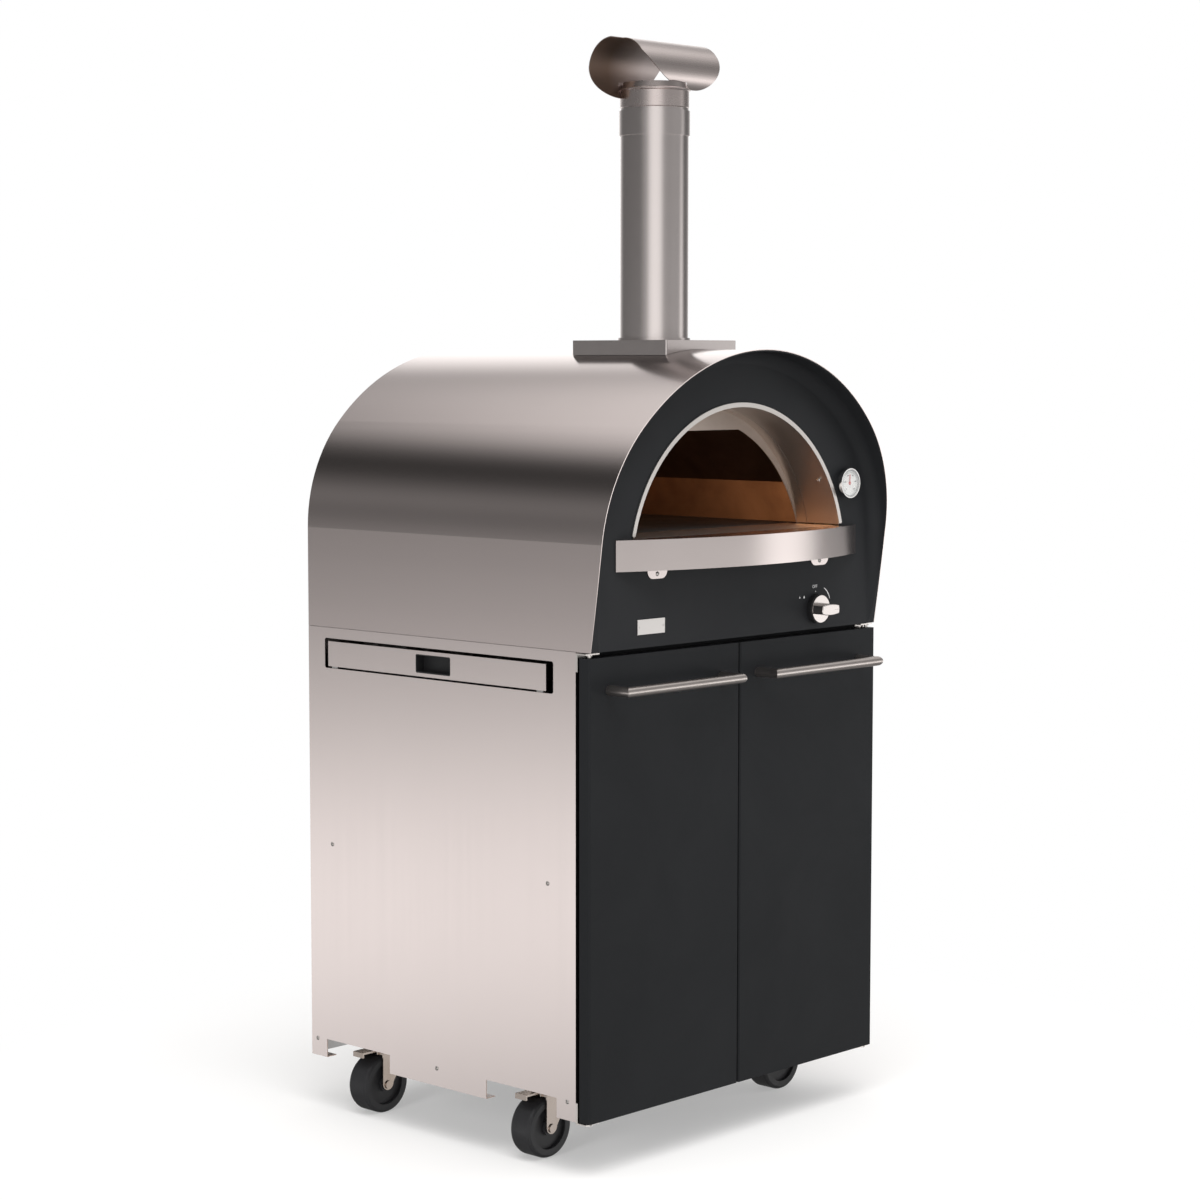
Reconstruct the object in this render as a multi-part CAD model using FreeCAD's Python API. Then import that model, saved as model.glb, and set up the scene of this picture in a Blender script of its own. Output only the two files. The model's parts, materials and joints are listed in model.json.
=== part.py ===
import FreeCAD, Part
import math
import os

# Outdoor pizza oven on a wheeled steel cabinet, in millimetres.
# X runs left to right, the doors and the mouth face -Y, and Z is up from the ground.
# The origin is on the ground, in the middle of the whole object's plan.

os.makedirs("parts", exist_ok=True)

# Cabinet
body_width = 700.0
body_depth = 618.0
body_height = 726.0
ground_clearance = 86.6
sheet = 1.5
flange = 18.5
notch_length = 156.0
notch_height = 31.0
notch_front_inset = 41.0
notch_back_inset = 38.5
floor_rise = 36.0
shelf_rise = 375.0
screw_radius = 2.0
screw_head_radius = 3.6
screw_head = 1.6
screw_clearance = 0.2
floor_screw_drop = 7.0
shelf_screw_drop = 11.0
floor_skirt = 15.0
shelf_setback = 30.0
shelf_fold = 24.0
header_height = 32.0
magnet_width = 30.0
magnet_height = 14.0
magnet_play = 0.3
vent_spacing = 60.0
vent_width = 8.0
vent_height = 30.0
hose_hole_radius = 22.0
hose_hole_x = 250.0
hose_hole_rise = 130.0

# Doors
door_gap = 7.1
door_thickness = 20.6
door_seam = 2.4
door_top_drop = 8.8
door_bend = 3.5
door_bottom_lift = 0.4
hinge_inset = 11.5
pin_radius = 3.0
pin_play = 0.06
bush_radius = 5.5
bush_length = 16.0
bush_collar_radius = 8.0
bush_collar = 1.5
pin_reach = 13.0
pin_collar_radius = 5.0
pin_collar = 1.5
door_lip = 18.0
bracket_length = 30.0
bracket_tab = 30.0
bracket_thickness = 2.0
bracket_nose = 4.0
bracket_low_play = 1.2
bracket_top_play = 5.2
handle_radius = 8.0
handle_stand_off = 39.3
handle_outer_reach = 313.0
handle_inner_reach = 37.0
handle_drop = 59.5
handle_screw_radius = 2.5
handle_screw_length = 14.0
handle_screw_head = 3.0

# Pull-out side shelf
slot_length = 529.6
slot_height = 49.9
slot_front = 47.4
slot_drop = 17.4
slot_corner = 4.0
board_length = 505.7
board_height = 41.5
board_front = 63.0
board_lift = 3.2
shelf_reach = 498.0
shelf_side_flange = 26.0
pull_length = 80.4
pull_height = 30.0
pull_depth = 18.0
pull_wall = 1.5
pull_play = 0.2
pull_border = 5.0
shelf_end_fold = 4.0
channel_depth = 14.0
channel_inner = 12.6
channel_drop = 4.7
channel_setback = 6.0
rail_play = 0.3

# Casters
wheel_radius = 48.2
wheel_width = 42.0
tread_corner = 5.0
tyre_depth = 14.0
web_recess = 6.0
wheel_play = 1.5
hub_radius = 13.0
axle_radius = 4.0
axle_play = 0.06
caster_inset = 64.0
caster_trail = 15.0
caster_shift = 5.0
caster_plate = 78.0
caster_plate_thickness = 3.0
fork_plate = 2.5
fork_front = 26.0
fork_rear = 22.0
fork_boss_radius = 11.5
fork_boss_rise = 2.5
axle_nut_radius = 7.0
race_radius = 26.0
king_pin_radius = 6.0
king_nut_radius = 9.0
pedal_width = 24.0
pedal_length = 36.0
pedal_pin_radius = 2.0
pedal_offset = 9.0

# Oven body
oven_width = 694.8
oven_lift = 3.0
barrel_spring = 161.4
barrel_side_radius = 253.5
barrel_rise = 293.75
barrel_sheet = 1.2
panel_play = 0.15
rear_plate = 1.5
base_plate = 2.0
foot_radius = 16.0
foot_reach = 270.0
foot_inset = 70.0
back_overhang = 3.0
face_setback = -28.0
hood_lean = 53.7
hood_bow = 4.6
hood_wall = 2.0
dish_fillet = 20.0

# Mouth, hearth and cooking chamber
mouth_radius = 260.0
mouth_centre_rise = 107.3
mouth_play = 2.0
trim_lap = 3.7
trim_width = 7.3
trim_depth = 2.0
trim_foot_gap = 3.5
hearth_rise = 165.0
tunnel_sheet = 1.5
tunnel_foot_gap = 2.0
tunnel_seam = 38.0
tunnel_end = 60.3
mouth_floor_end = 80.0
mouth_floor_reach = 248.0
mouth_floor_sheet = 2.0
lining_screw_angle = 31.8
lining_screw_setback = 16.3
lining_screw_play = 0.12
throat_radius = 264.0
throat_centre_rise = 79.9
throat_edge_rise = 325.1
chamber_half_width = 280.0
chamber_wall_rise = 66.6
chamber_vault_rise = 150.0
chamber_back = 575.0
chamber_sheet = 2.0
tile_thickness = 30.0
tile_joint = 1.0
tile_rows = 3
tile_columns = 2
board_thickness = 50.0
blanket_gap = 0.3
hearth_rail_reach = 215.0
hearth_rail_width = 30.0
hearth_rail_sheet = 3.0
burner_radius = 9.0
burner_inset = 26.0
burner_port_spacing = 28.0
gas_pipe_radius = 5.0
gas_valve_size = 34.0

# Mantel shelf under the mouth
mantel_half_width = 292.7
mantel_bow = 62.4
mantel_end = 2.0
mantel_height = 48.0
mantel_sheet = 1.5
mantel_tab_width = 45.0
mantel_tab_drop = 15.0
mantel_tab_corner = 12.5
mantel_tab_reach = 198.5

# Flue
flue_setback = 159.5
flue_box_width = 170.0
flue_box_depth = 207.0
flue_box_top = 14.65
flue_radius = 55.5
flue_sheet = 1.2
flue_box_wall = 1.5
sleeve_radius = 50.0
sleeve_play = 0.3
flue_length = 329.0
foot_ring_width = 3.5
foot_ring_height = 4.0
collar_height = 40.0
collar_step = 1.8
bead_depth = 2.2
bead_height = 5.0
upper_collar_height = 27.0
spigot_height = 9.0
cowl_radius = 50.0
cowl_sheet = 1.5
cowl_axis_rise = 31.0
cowl_near_end = 107.0
cowl_near_corner = 56.3
cowl_near_lower = 27.8
cowl_near_sweep = 146.5
cowl_near_foot = 40.5
cowl_far_end = 102.0
cowl_far_corner = 50.0
cowl_far_lower = 44.0
cowl_far_sweep = 132.5
cowl_far_foot = 42.9
cowl_tail = 75.0

# Controls
knob_reach = 191.4
knob_rise = 30.4
knob_disc_radius = 22.4
bezel_radius = 24.2
bezel_depth = 9.0
grip_depth = 21.0
grip_height = 18.6
grip_end_height = 13.5
knob_shaft_radius = 4.0
dial_reach = 265.5
dial_rise = 235.0
dial_radius = 24.6
dial_neck_radius = 19.0
dial_neck = 7.0
dial_case_depth = 6.0
dial_lip = 1.6
dial_play = 0.2
stem_radius = 3.5
pointer_reach = 14.0
pointer_tail = 3.0
pointer_hub = 2.5
plate_left = -242.9
plate_width = 62.3
plate_low = 17.4
plate_height = 23.2

# Worked-out places
half_width = body_width / 2
oven_half = oven_width / 2
mantel_reach = mantel_bow - face_setback
front = mantel_reach - (mantel_reach + body_depth + back_overhang) / 2
back = front + body_depth
body_bottom = ground_clearance
body_top = body_bottom + body_height
inside = half_width - sheet
door_back = front - door_gap
door_front = door_back - door_thickness
door_bottom = body_bottom + door_bottom_lift
door_top = body_top - door_top_drop
hinge_x = half_width - hinge_inset
hinge_y = door_back - door_thickness / 2
oven_bottom = body_top + oven_lift
face = front + face_setback
hearth = oven_bottom + hearth_rise
barrel_top = oven_bottom + barrel_spring + barrel_rise
spring_line = oven_bottom + barrel_spring
mouth_centre = oven_bottom + mouth_centre_rise
oven_back = back + back_overhang
flue_y = front + flue_setback
hood_height = barrel_top - body_top + oven_lift
hood_chord = math.hypot(hood_height, hood_lean)
hood_radius = hood_chord ** 2 / (8 * hood_bow) + hood_bow / 2

X_AXIS = FreeCAD.Vector(1, 0, 0)
Y_AXIS = FreeCAD.Vector(0, 1, 0)
Z_AXIS = FreeCAD.Vector(0, 0, 1)


def point(x, y, z):
    return FreeCAD.Vector(x, y, z)


def block(x0, x1, y0, y1, z0, z1):
    return Part.makeBox(x1 - x0, y1 - y0, z1 - z0, point(x0, y0, z0))


def rod(radius, x, y, z, axis, length):
    return Part.makeCylinder(radius, length, point(x, y, z), axis)


def ring(outer, inner, x, y, z, axis, length):
    return rod(outer, x, y, z, axis, length).cut(rod(inner, x, y, z, axis, length))


def join(shapes):
    whole = shapes[0]
    if len(shapes) > 1:
        whole = shapes[0].multiFuse(shapes[1:])
    return whole.removeSplitter()


def without(shape, tools):
    return shape.cut(Part.makeCompound(tools)) if len(tools) > 1 else shape.cut(tools[0])


def mirrored(shape):
    return shape.mirror(point(0, 0, 0), X_AXIS)


def save(name, shapes):
    solids = []
    for shape in shapes:
        solids.extend(shape.Solids)
    for solid in solids:
        if not solid.isValid():
            print("invalid solid in", name)
    whole = solids[0] if len(solids) == 1 else Part.makeCompound(solids)
    whole.exportStep("parts/" + name + ".step")
    box = whole.BoundBox
    print(name, len(solids), "solids", [round(v, 1) for v in
          (box.XMin, box.XMax, box.YMin, box.YMax, box.ZMin, box.ZMax)])


def prism(edges, y0, y1):
    face_shape = Part.Face(Part.Wire(edges))
    return face_shape.extrude(point(0, y1 - y0, 0))


def line(a, b):
    return Part.LineSegment(a, b).toShape()


def arc(a, b, c):
    return Part.Arc(a, b, c).toShape()


# Barrel outline: upright sides, two side arcs and one flatter crown arc, all tangent
barrel_side_centre = oven_half - barrel_side_radius
barrel_crown_radius = ((barrel_side_centre ** 2 + barrel_rise ** 2 - barrel_side_radius ** 2)
                       / (2 * (barrel_rise - barrel_side_radius)))
crown_centre = barrel_top - barrel_crown_radius
crown_angle = math.atan2(barrel_side_centre, spring_line - crown_centre)


def barrel(inset, y0, y1, bottom):
    """Prism of the barrel's outline, drawn in by inset, from y0 to y1."""
    side = barrel_side_radius - inset
    crown = barrel_crown_radius - inset
    reach = oven_half - inset

    def on_side(angle, sign):
        return point(sign * (barrel_side_centre + side * math.cos(angle)), y0,
                     spring_line + side * math.sin(angle))

    meet = math.pi / 2 - crown_angle
    top = point(0, y0, crown_centre + crown)
    outline = [line(point(-reach, y0, bottom), point(-reach, y0, spring_line)),
               arc(on_side(0, -1), on_side(meet / 2, -1), on_side(meet, -1)),
               arc(on_side(meet, -1), top, on_side(meet, 1)),
               arc(on_side(meet, 1), on_side(meet / 2, 1), on_side(0, 1)),
               line(point(reach, y0, spring_line), point(reach, y0, bottom)),
               line(point(reach, y0, bottom), point(-reach, y0, bottom))]
    return prism(outline, y0, y1)


def hood_sweep():
    """Everything behind the front rim of the barrel, which leans forward in a shallow bow."""
    reach = hood_radius - hood_bow
    centre_y = face - hood_lean / 2 + reach * hood_height / hood_chord
    centre_z = barrel_top - hood_height / 2 + reach * hood_lean / hood_chord
    return rod(hood_radius, -half_width - 50, centre_y, centre_z, X_AXIS, body_width + 100)


def rounded_slot(x0, x1, y0, y1, z0, z1, radius):
    slot = block(x0, x1, y0, y1, z0, z1)
    edges = [e for e in slot.Edges if abs(e.tangentAt(e.FirstParameter).x) > 0.99]
    return slot.makeFillet(radius, edges)


# Screw places on a side panel: distance from the front edge and height above the panel's foot
floor_plate = body_bottom + floor_rise
shelf_plate = body_bottom + shelf_rise
floor_screw_height = floor_plate - floor_screw_drop
shelf_screw_height = shelf_plate - shelf_screw_drop
side_screws = [(18.0, floor_screw_height), (body_depth / 2 + 2, floor_screw_height),
               (body_depth - 15.0, floor_screw_height),
               (60.0, shelf_screw_height), (body_depth - 56.0, shelf_screw_height)]
slot_top = body_top - slot_drop
slot_bottom = slot_top - slot_height
notches = [(front + notch_front_inset, front + notch_front_inset + notch_length),
           (back - notch_back_inset - notch_length, back - notch_back_inset)]


def side_panel(has_slot):
    x = -half_width
    body = [block(x, x + sheet, front, back, body_bottom, body_top),
            block(x, x + sheet + flange, front, front + sheet, body_bottom, body_top),
            block(x, x + sheet + flange, back - sheet, back, body_bottom, body_top),
            block(x, x + sheet + flange, front, back, body_bottom, body_bottom + sheet)]
    panel = join(body)
    cuts = [block(x - 1, x + flange + 3, y0, y1, body_bottom - 1, body_bottom + notch_height)
            for y0, y1 in notches]
    cuts += [rod(screw_radius + screw_clearance, x - 1, front + y, z, X_AXIS, sheet + 2)
             for y, z in side_screws]
    if has_slot:
        cuts.append(rounded_slot(x - 1, x + sheet + 1, front + slot_front,
                                 front + slot_front + slot_length, slot_bottom, slot_top,
                                 slot_corner))
    return without(panel, cuts)


save("side_panel_left", [side_panel(True)])
save("side_panel_right", [mirrored(side_panel(False))])

# Back panel, inside the side panels' rear flanges, with two rows of vent slots and a hose hole
rear_face = back - sheet
vent_rows = [body_bottom + vent_spacing, body_top - vent_spacing]
vent_columns = [vent_spacing * (i - 3.5) for i in range(8)]
hose_hole_z = body_bottom + hose_hole_rise
back_cuts = [block(x, x + vent_width, rear_face - 4, rear_face + 2, z, z + vent_height)
             for x in vent_columns for z in vent_rows]
back_cuts.append(rod(hose_hole_radius, hose_hole_x, rear_face - 4, hose_hole_z, Y_AXIS, 8))
back_panel = block(-inside, inside, rear_face - sheet, rear_face, body_bottom + sheet,
                   body_top - sheet)
save("back_panel", [without(back_panel, back_cuts)])

# Cabinet floor: a plate with sides folded down between the caster notches
inner_front = front + sheet
inner_back = rear_face - sheet
skirt_bottom = floor_plate - floor_skirt
floor_parts = [block(-inside, inside, inner_front, inner_back, floor_plate, floor_plate + sheet),
               block(-inside, inside, inner_front, inner_front + sheet, skirt_bottom,
                     floor_plate + sheet)]
stretches = [(inner_front, notches[0][0] - 2), (notches[0][1] + 2, notches[1][0] - 2),
             (notches[1][1] + 2, inner_back)]
for y0, y1 in stretches:
    left = block(-inside, -inside + sheet, y0, y1, skirt_bottom, floor_plate + sheet)
    floor_parts += [left, mirrored(left)]
floor_holes = []
for y, z in side_screws[:3]:
    hole = rod(screw_radius + screw_clearance, -inside - 1, front + y, z, X_AXIS, sheet + 2)
    floor_holes += [hole, mirrored(hole)]
save("cabinet_floor", [without(join(floor_parts), floor_holes)])

# Inner shelf with folded sides
shelf_y0 = front + shelf_setback
shelf_y1 = inner_back - 20
shelf_parts = [block(-inside, inside, shelf_y0, shelf_y1, shelf_plate, shelf_plate + sheet)]
shelf_holes = []
left = block(-inside, -inside + sheet, shelf_y0, shelf_y1, shelf_plate - shelf_fold, shelf_plate)
shelf_parts += [left, mirrored(left)]
shelf_parts.append(block(-inside, inside, shelf_y0, shelf_y0 + sheet, shelf_plate - shelf_fold,
                         shelf_plate))
for y, z in side_screws[3:]:
    hole = rod(screw_radius + screw_clearance, -inside - 1, front + y, z, X_AXIS, sheet + 2)
    shelf_holes += [hole, mirrored(hole)]
save("inner_shelf", [without(join(shelf_parts), shelf_holes)])

# Top deck that the oven stands on, folded down at both sides above the slot
deck_fold = slot_drop - sheet - 1.0
deck_parts = [block(-inside, inside, front, back, body_top - sheet, body_top)]
left = block(-inside, -inside + sheet, inner_front, inner_back, body_top - sheet - deck_fold, body_top)
deck_parts += [left, mirrored(left)]
deck = join(deck_parts)
for sign in (-1, 1):
    corner = block(*sorted((sign * (inside - flange - 0.1), sign * (inside + 1))), front - 1,
                   front + sheet + 0.1, body_top - sheet - 1, body_top + 1)
    rear = block(*sorted((sign * (inside - flange - 0.1), sign * (inside + 1))), rear_face - 0.1,
                 back + 1, body_top - sheet - 1, body_top + 1)
    deck = without(deck, [corner, rear])
save("top_deck", [deck])

# Header behind the top of the doors, between the side panels' front flanges
header_top = body_top - sheet
header_reach = half_width - sheet - flange
header = join([block(-header_reach, header_reach, front, front + sheet,
                     header_top - header_height, header_top),
               block(-header_reach, header_reach, front, front + 16,
                     header_top - header_height, header_top - header_height + sheet)])
save("door_header", [header])
magnet_bottom = header_top - header_height + 3
magnet = block(16, 16 + magnet_width, door_back + magnet_play, front, magnet_bottom,
               magnet_bottom + magnet_height)
save("door_magnets", [magnet, mirrored(magnet)])


# Doors: folded pans, open at the back, with a lip all round
def door_pan():
    x0, x1 = -half_width + 0.5, -door_seam / 2
    outer = block(x0, x1, door_front, door_back, door_bottom, door_top)
    corners = [e for e in outer.Edges
               if abs(e.tangentAt(e.FirstParameter).z) > 0.99 and e.CenterOfMass.y < door_front + 1]
    outer = outer.makeFillet(door_bend, corners)
    hollow = block(x0 + sheet, x1 - sheet, door_front + sheet, door_back - sheet,
                   door_bottom + sheet, door_top - sheet)
    window = block(x0 + door_lip, x1 - door_lip, door_back - sheet - 1, door_back + 1,
                   door_bottom + door_lip, door_top - door_lip)
    cuts = [hollow, window]
    cuts += [rod(bush_radius + 0.02, -hinge_x, hinge_y, z, Z_AXIS, sheet + 2)
             for z in (door_bottom - 1, door_top - sheet - 1)]
    return without(outer, cuts)


# Pivot bushes in the top and bottom of each door
bore = pin_radius + pin_play


def bush(z_face, inward):
    z0 = min(z_face, z_face + inward * bush_length)
    body = rod(bush_radius, -hinge_x, hinge_y, z0, Z_AXIS, bush_length)
    collar_face = z_face + inward * sheet
    z1 = min(collar_face, collar_face + inward * bush_collar)
    collar = rod(bush_collar_radius, -hinge_x, hinge_y, z1, Z_AXIS, bush_collar)
    return join([body, collar]).cut(rod(bore, -hinge_x, hinge_y, z0 - 1, Z_AXIS, bush_length + 2))


bushes = [bush(door_top, -1), bush(door_bottom, 1)]
save("hinge_bushes_left", bushes)
save("hinge_bushes_right", [mirrored(b) for b in bushes])

# Stainless corner brackets that carry the pivots, and the pivots themselves
top_plate = door_top + bracket_top_play
low_plate = door_bottom - bracket_low_play - bracket_thickness


def bracket(z_plate, z_tab, z_edge):
    x = -half_width
    parts = [block(x, x + bracket_length, hinge_y - bracket_nose, front, z_plate,
                   z_plate + bracket_thickness),
             block(x, x + sheet + flange, front - sheet, front, min(z_tab, z_plate),
                   max(z_tab, z_plate + bracket_thickness)),
             block(x, x + sheet, front - 4, front, min(z_tab, z_edge), max(z_tab, z_edge))]
    hole = rod(pin_radius + pin_play, -hinge_x, hinge_y, z_plate - 1, Z_AXIS, bracket_thickness + 2)
    return join(parts).cut(hole)


brackets = [bracket(top_plate, body_top - bracket_tab, top_plate),
            bracket(low_plate, body_bottom + bracket_tab, low_plate)]
save("hinge_brackets", brackets + [mirrored(b) for b in brackets])
top_pin = join([rod(pin_radius, -hinge_x, hinge_y, door_top - pin_reach, Z_AXIS,
                    pin_reach + bracket_top_play + bracket_thickness),
                rod(pin_collar_radius, -hinge_x, hinge_y, top_plate - pin_collar, Z_AXIS,
                    pin_collar)])
low_pin = join([rod(pin_radius, -hinge_x, hinge_y, low_plate, Z_AXIS,
                    pin_reach + bracket_low_play + bracket_thickness),
                rod(pin_collar_radius, -hinge_x, hinge_y, low_plate - pin_collar, Z_AXIS,
                    pin_collar)])
pins = [top_pin, low_pin]
save("hinge_pins", pins + [mirrored(p) for p in pins])

# Door handles: round bars with mitred corners, screwed on from inside the door
handle_y = door_front - handle_stand_off
handle_z = body_top - handle_drop
handle_ends = (-handle_outer_reach + handle_radius, -handle_inner_reach - handle_radius)
span = 2 * handle_radius
mitre = Part.Face(Part.makePolygon([
    point(handle_ends[0] - span, handle_y - span, handle_z - span),
    point(handle_ends[1] + span, handle_y - span, handle_z - span),
    point(handle_ends[1] - span, handle_y + span, handle_z - span),
    point(handle_ends[0] + span, handle_y + span, handle_z - span),
    point(handle_ends[0] - span, handle_y - span, handle_z - span)]))
mitre = mitre.extrude(point(0, 0, 2 * span))
bar = rod(handle_radius, handle_ends[0] - span, handle_y, handle_z, X_AXIS,
          handle_ends[1] - handle_ends[0] + 2 * span)
handle_parts = [bar.common(mitre)]
for x in handle_ends:
    post = rod(handle_radius, x, handle_y - span, handle_z, Y_AXIS, handle_stand_off + span)
    handle_parts.append(post.cut(mitre))
handle = without(join(handle_parts), [
    rod(handle_screw_radius, x, door_front - handle_screw_length, handle_z, Y_AXIS,
        handle_screw_length + 1) for x in handle_ends])
handle_screws = [join([rod(handle_screw_radius, x, door_front - handle_screw_length + 0.5, handle_z,
                           Y_AXIS, handle_screw_length - 0.5 + sheet + 0.5),
                       rod(2 * handle_screw_radius, x, door_front + sheet, handle_z, Y_AXIS,
                     handle_screw_head)])
                 for x in handle_ends]
door_screw_holes = [rod(handle_screw_radius + screw_clearance, x, door_front - 1, handle_z, Y_AXIS,
                        sheet + 2) for x in handle_ends]
door = without(door_pan(), door_screw_holes)
save("door_left", [door])
save("door_right", [mirrored(door)])
save("handle_left", [handle] + handle_screws)
save("handle_right", [mirrored(s) for s in [handle] + handle_screws])

# Pull-out shelf: a pan whose front board sits flush in the slot of the left side panel
board_bottom = slot_bottom + board_lift
board_top = board_bottom + board_height
board_y0 = front + board_front
board_y1 = board_y0 + board_length
board_mid = (board_y0 + board_y1) / 2
board_middle_z = (board_bottom + board_top) / 2
shelf_parts = [block(-half_width, -inside, board_y0, board_y1, board_bottom, board_top),
               block(-half_width, -half_width + shelf_reach, board_y0, board_y1, board_top - sheet,
                     board_top),
               block(-half_width, -half_width + shelf_reach, board_y0, board_y0 + sheet,
                     board_top - shelf_side_flange, board_top),
               block(-half_width, -half_width + shelf_reach, board_y1 - sheet, board_y1,
                     board_top - shelf_side_flange, board_top),
               block(-half_width + shelf_reach - sheet, -half_width + shelf_reach, board_y0, board_y1,
                     board_top - shelf_end_fold, board_top)]
pull_y0 = board_mid - pull_length / 2
pull_y1 = board_mid + pull_length / 2
pull_z0 = board_middle_z - pull_height / 2
pull_z1 = board_middle_z + pull_height / 2
pull_hole = rounded_slot(-half_width - 1, -inside + 1, pull_y0, pull_y1, pull_z0, pull_z1, 3.0)
save("side_shelf_board", [join(shelf_parts).cut(pull_hole)])
pull_cup = join([rounded_slot(-half_width, -half_width + pull_depth, pull_y0 + pull_play,
                              pull_y1 - pull_play, pull_z0 + pull_play, pull_z1 - pull_play, 2.8),
                 rounded_slot(-inside, -inside + pull_wall, pull_y0 - pull_border,
                              pull_y1 + pull_border, pull_z0 - pull_border / 2,
                              pull_z1 + pull_border / 2, 3.0)])
pull_hollow = rounded_slot(-half_width - 1, -half_width + pull_depth - pull_wall,
                           pull_y0 + pull_play + pull_wall, pull_y1 - pull_play - pull_wall,
                           pull_z0 + pull_play + pull_wall, pull_z1 - pull_play - pull_wall, 1.5)
save("side_shelf_pull", [pull_cup.cut(pull_hollow)])

# Runners: fixed channels across the cabinet and slides under the pull-out shelf
channel_top = board_top - channel_drop
channel_bottom = channel_top - channel_inner - 2 * sheet - 5.0
mouth_low = (channel_top + channel_bottom) / 2 - channel_inner / 2
mouth_high = mouth_low + channel_inner
slide_y0 = board_y0 + sheet
channel_y0 = slide_y0 + channel_setback
channel_y1 = channel_y0 + channel_depth
support_bottom = slot_bottom - 20.0


def about_middle(shape):
    return shape.mirror(point(0, board_mid, 0), Y_AXIS)


channel = join([
    block(-inside + 2, inside - 2, channel_y0, channel_y1, channel_bottom, channel_top),
    block(inside - 2, inside, channel_y0, channel_y1 + 16, support_bottom, channel_top),
    block(-inside, -inside + 2, channel_y0, channel_y1, support_bottom, channel_bottom + sheet),
    block(-inside, -inside + 30, channel_y0, channel_y1, channel_bottom - sheet, channel_bottom)])
channel = without(channel, [
    block(-inside + 1, inside - 3, channel_y0 + sheet, channel_y1 - sheet, channel_bottom + sheet,
          channel_top - sheet),
    block(-inside + 1, inside - 3, channel_y0 - 1, channel_y1 - sheet, mouth_low, mouth_high)])
save("side_shelf_rails", [channel, about_middle(channel)])
slide = join([
    block(-half_width + 6, -half_width + shelf_reach - 20, slide_y0, channel_y1 - sheet - rail_play,
          mouth_low + rail_play, mouth_high - rail_play),
    block(-half_width + 6, -half_width + shelf_reach - 20, channel_y0 + sheet + rail_play,
          channel_y1 - sheet - rail_play, channel_bottom + sheet + rail_play,
          channel_top - sheet - rail_play)])
save("side_shelf_slides", [slide, about_middle(slide)])

# Casters: top plates with king pins, forks with axles, wheels and brake pedals
caster_top = floor_plate
plate_bottom = caster_top - caster_plate_thickness
wheel_z = wheel_radius
crown_z = 2 * wheel_radius + 3.2
race_bottom = crown_z + 3.0
race_split = (race_bottom + plate_bottom) / 2
caster_x = half_width - caster_inset
front_caster_y = notches[0][0] + notch_length / 2 + caster_shift
rear_caster_y = notches[1][0] + notch_length / 2 + caster_shift
caster_places = {"front_left": (-caster_x, front_caster_y),
                 "front_right": (caster_x, front_caster_y),
                 "rear_left": (-caster_x, rear_caster_y),
                 "rear_right": (caster_x, rear_caster_y)}
leg_inner = wheel_width / 2 + wheel_play
leg_outer = leg_inner + fork_plate
boss_z = wheel_z + fork_boss_rise
pedal_pivot_x = -caster_trail - pedal_offset
pedal_pivot_z = crown_z + 3.8


def caster_top_plate(cx, cy):
    half = caster_plate / 2
    plate = block(cx - half, cx + half, cy - half, cy + half, plate_bottom, caster_top)
    corners = [e for e in plate.Edges if abs(e.tangentAt(e.FirstParameter).z) > 0.99]
    plate = plate.makeFillet(6.0, corners)
    race = rod(race_radius, cx, cy, race_split + 0.3, Z_AXIS, plate_bottom - race_split)
    pin = rod(king_pin_radius, cx, cy, crown_z - 1.0, Z_AXIS, plate_bottom - crown_z + 1.5)
    nut = rod(king_nut_radius, cx, cy, crown_z - 2.8, Z_AXIS, 2.4)
    return join([plate, race, pin, nut])


def fork(cx, cy):
    axle_x = cx - caster_trail
    rear_x, front_x = cx - fork_front, cx + fork_rear
    leg_y = cy - leg_outer
    crown = block(rear_x, front_x, leg_y, cy + leg_outer, crown_z, race_bottom)
    disc = rod(race_radius - 2, cx, cy, crown_z, Z_AXIS, race_split - crown_z)
    outline = Part.makePolygon([
        point(rear_x, leg_y, race_bottom), point(front_x, leg_y, race_bottom),
        point(front_x, leg_y, race_bottom - fork_boss_radius),
        point(axle_x + fork_boss_radius, leg_y, boss_z),
        point(axle_x - fork_boss_radius, leg_y, boss_z), point(rear_x, leg_y, race_bottom)])
    leg = Part.Face(outline).extrude(point(0, fork_plate, 0))
    boss = rod(fork_boss_radius, axle_x, leg_y, boss_z, Y_AXIS, fork_plate)
    cap = rod(axle_nut_radius, axle_x, leg_y - fork_plate, wheel_z, Y_AXIS, fork_plate)
    near = join([leg, boss, cap])
    far = near.mirror(point(0, cy, 0), Y_AXIS)
    axle = rod(axle_radius, axle_x, leg_y, wheel_z, Y_AXIS, 2 * leg_outer)
    pivot_x = cx + pedal_pivot_x
    ears = []
    for side in (-1, 1):
        y0 = cy + side * (pedal_width / 2 + 0.5)
        y1 = y0 + side * fork_plate
        ears.append(block(pivot_x - 5, pivot_x + 5, min(y0, y1), max(y0, y1), crown_z,
                          pedal_pivot_z + 4))
    pedal_pin = rod(pedal_pin_radius, pivot_x, cy - pedal_width / 2 - 1, pedal_pivot_z, Y_AXIS,
                    pedal_width + 2)
    body = join([crown, disc, near, far, axle, pedal_pin] + ears)
    relief = block(pivot_x - 10, pivot_x + 4.8, cy - pedal_width / 2 - 0.4, cy + pedal_width / 2 + 0.4,
                   crown_z - 1, race_split + 1)
    bore = rod(king_pin_radius + axle_play, cx, cy, crown_z - 5, Z_AXIS, 40)
    return body.cut(relief).cut(bore)


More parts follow.
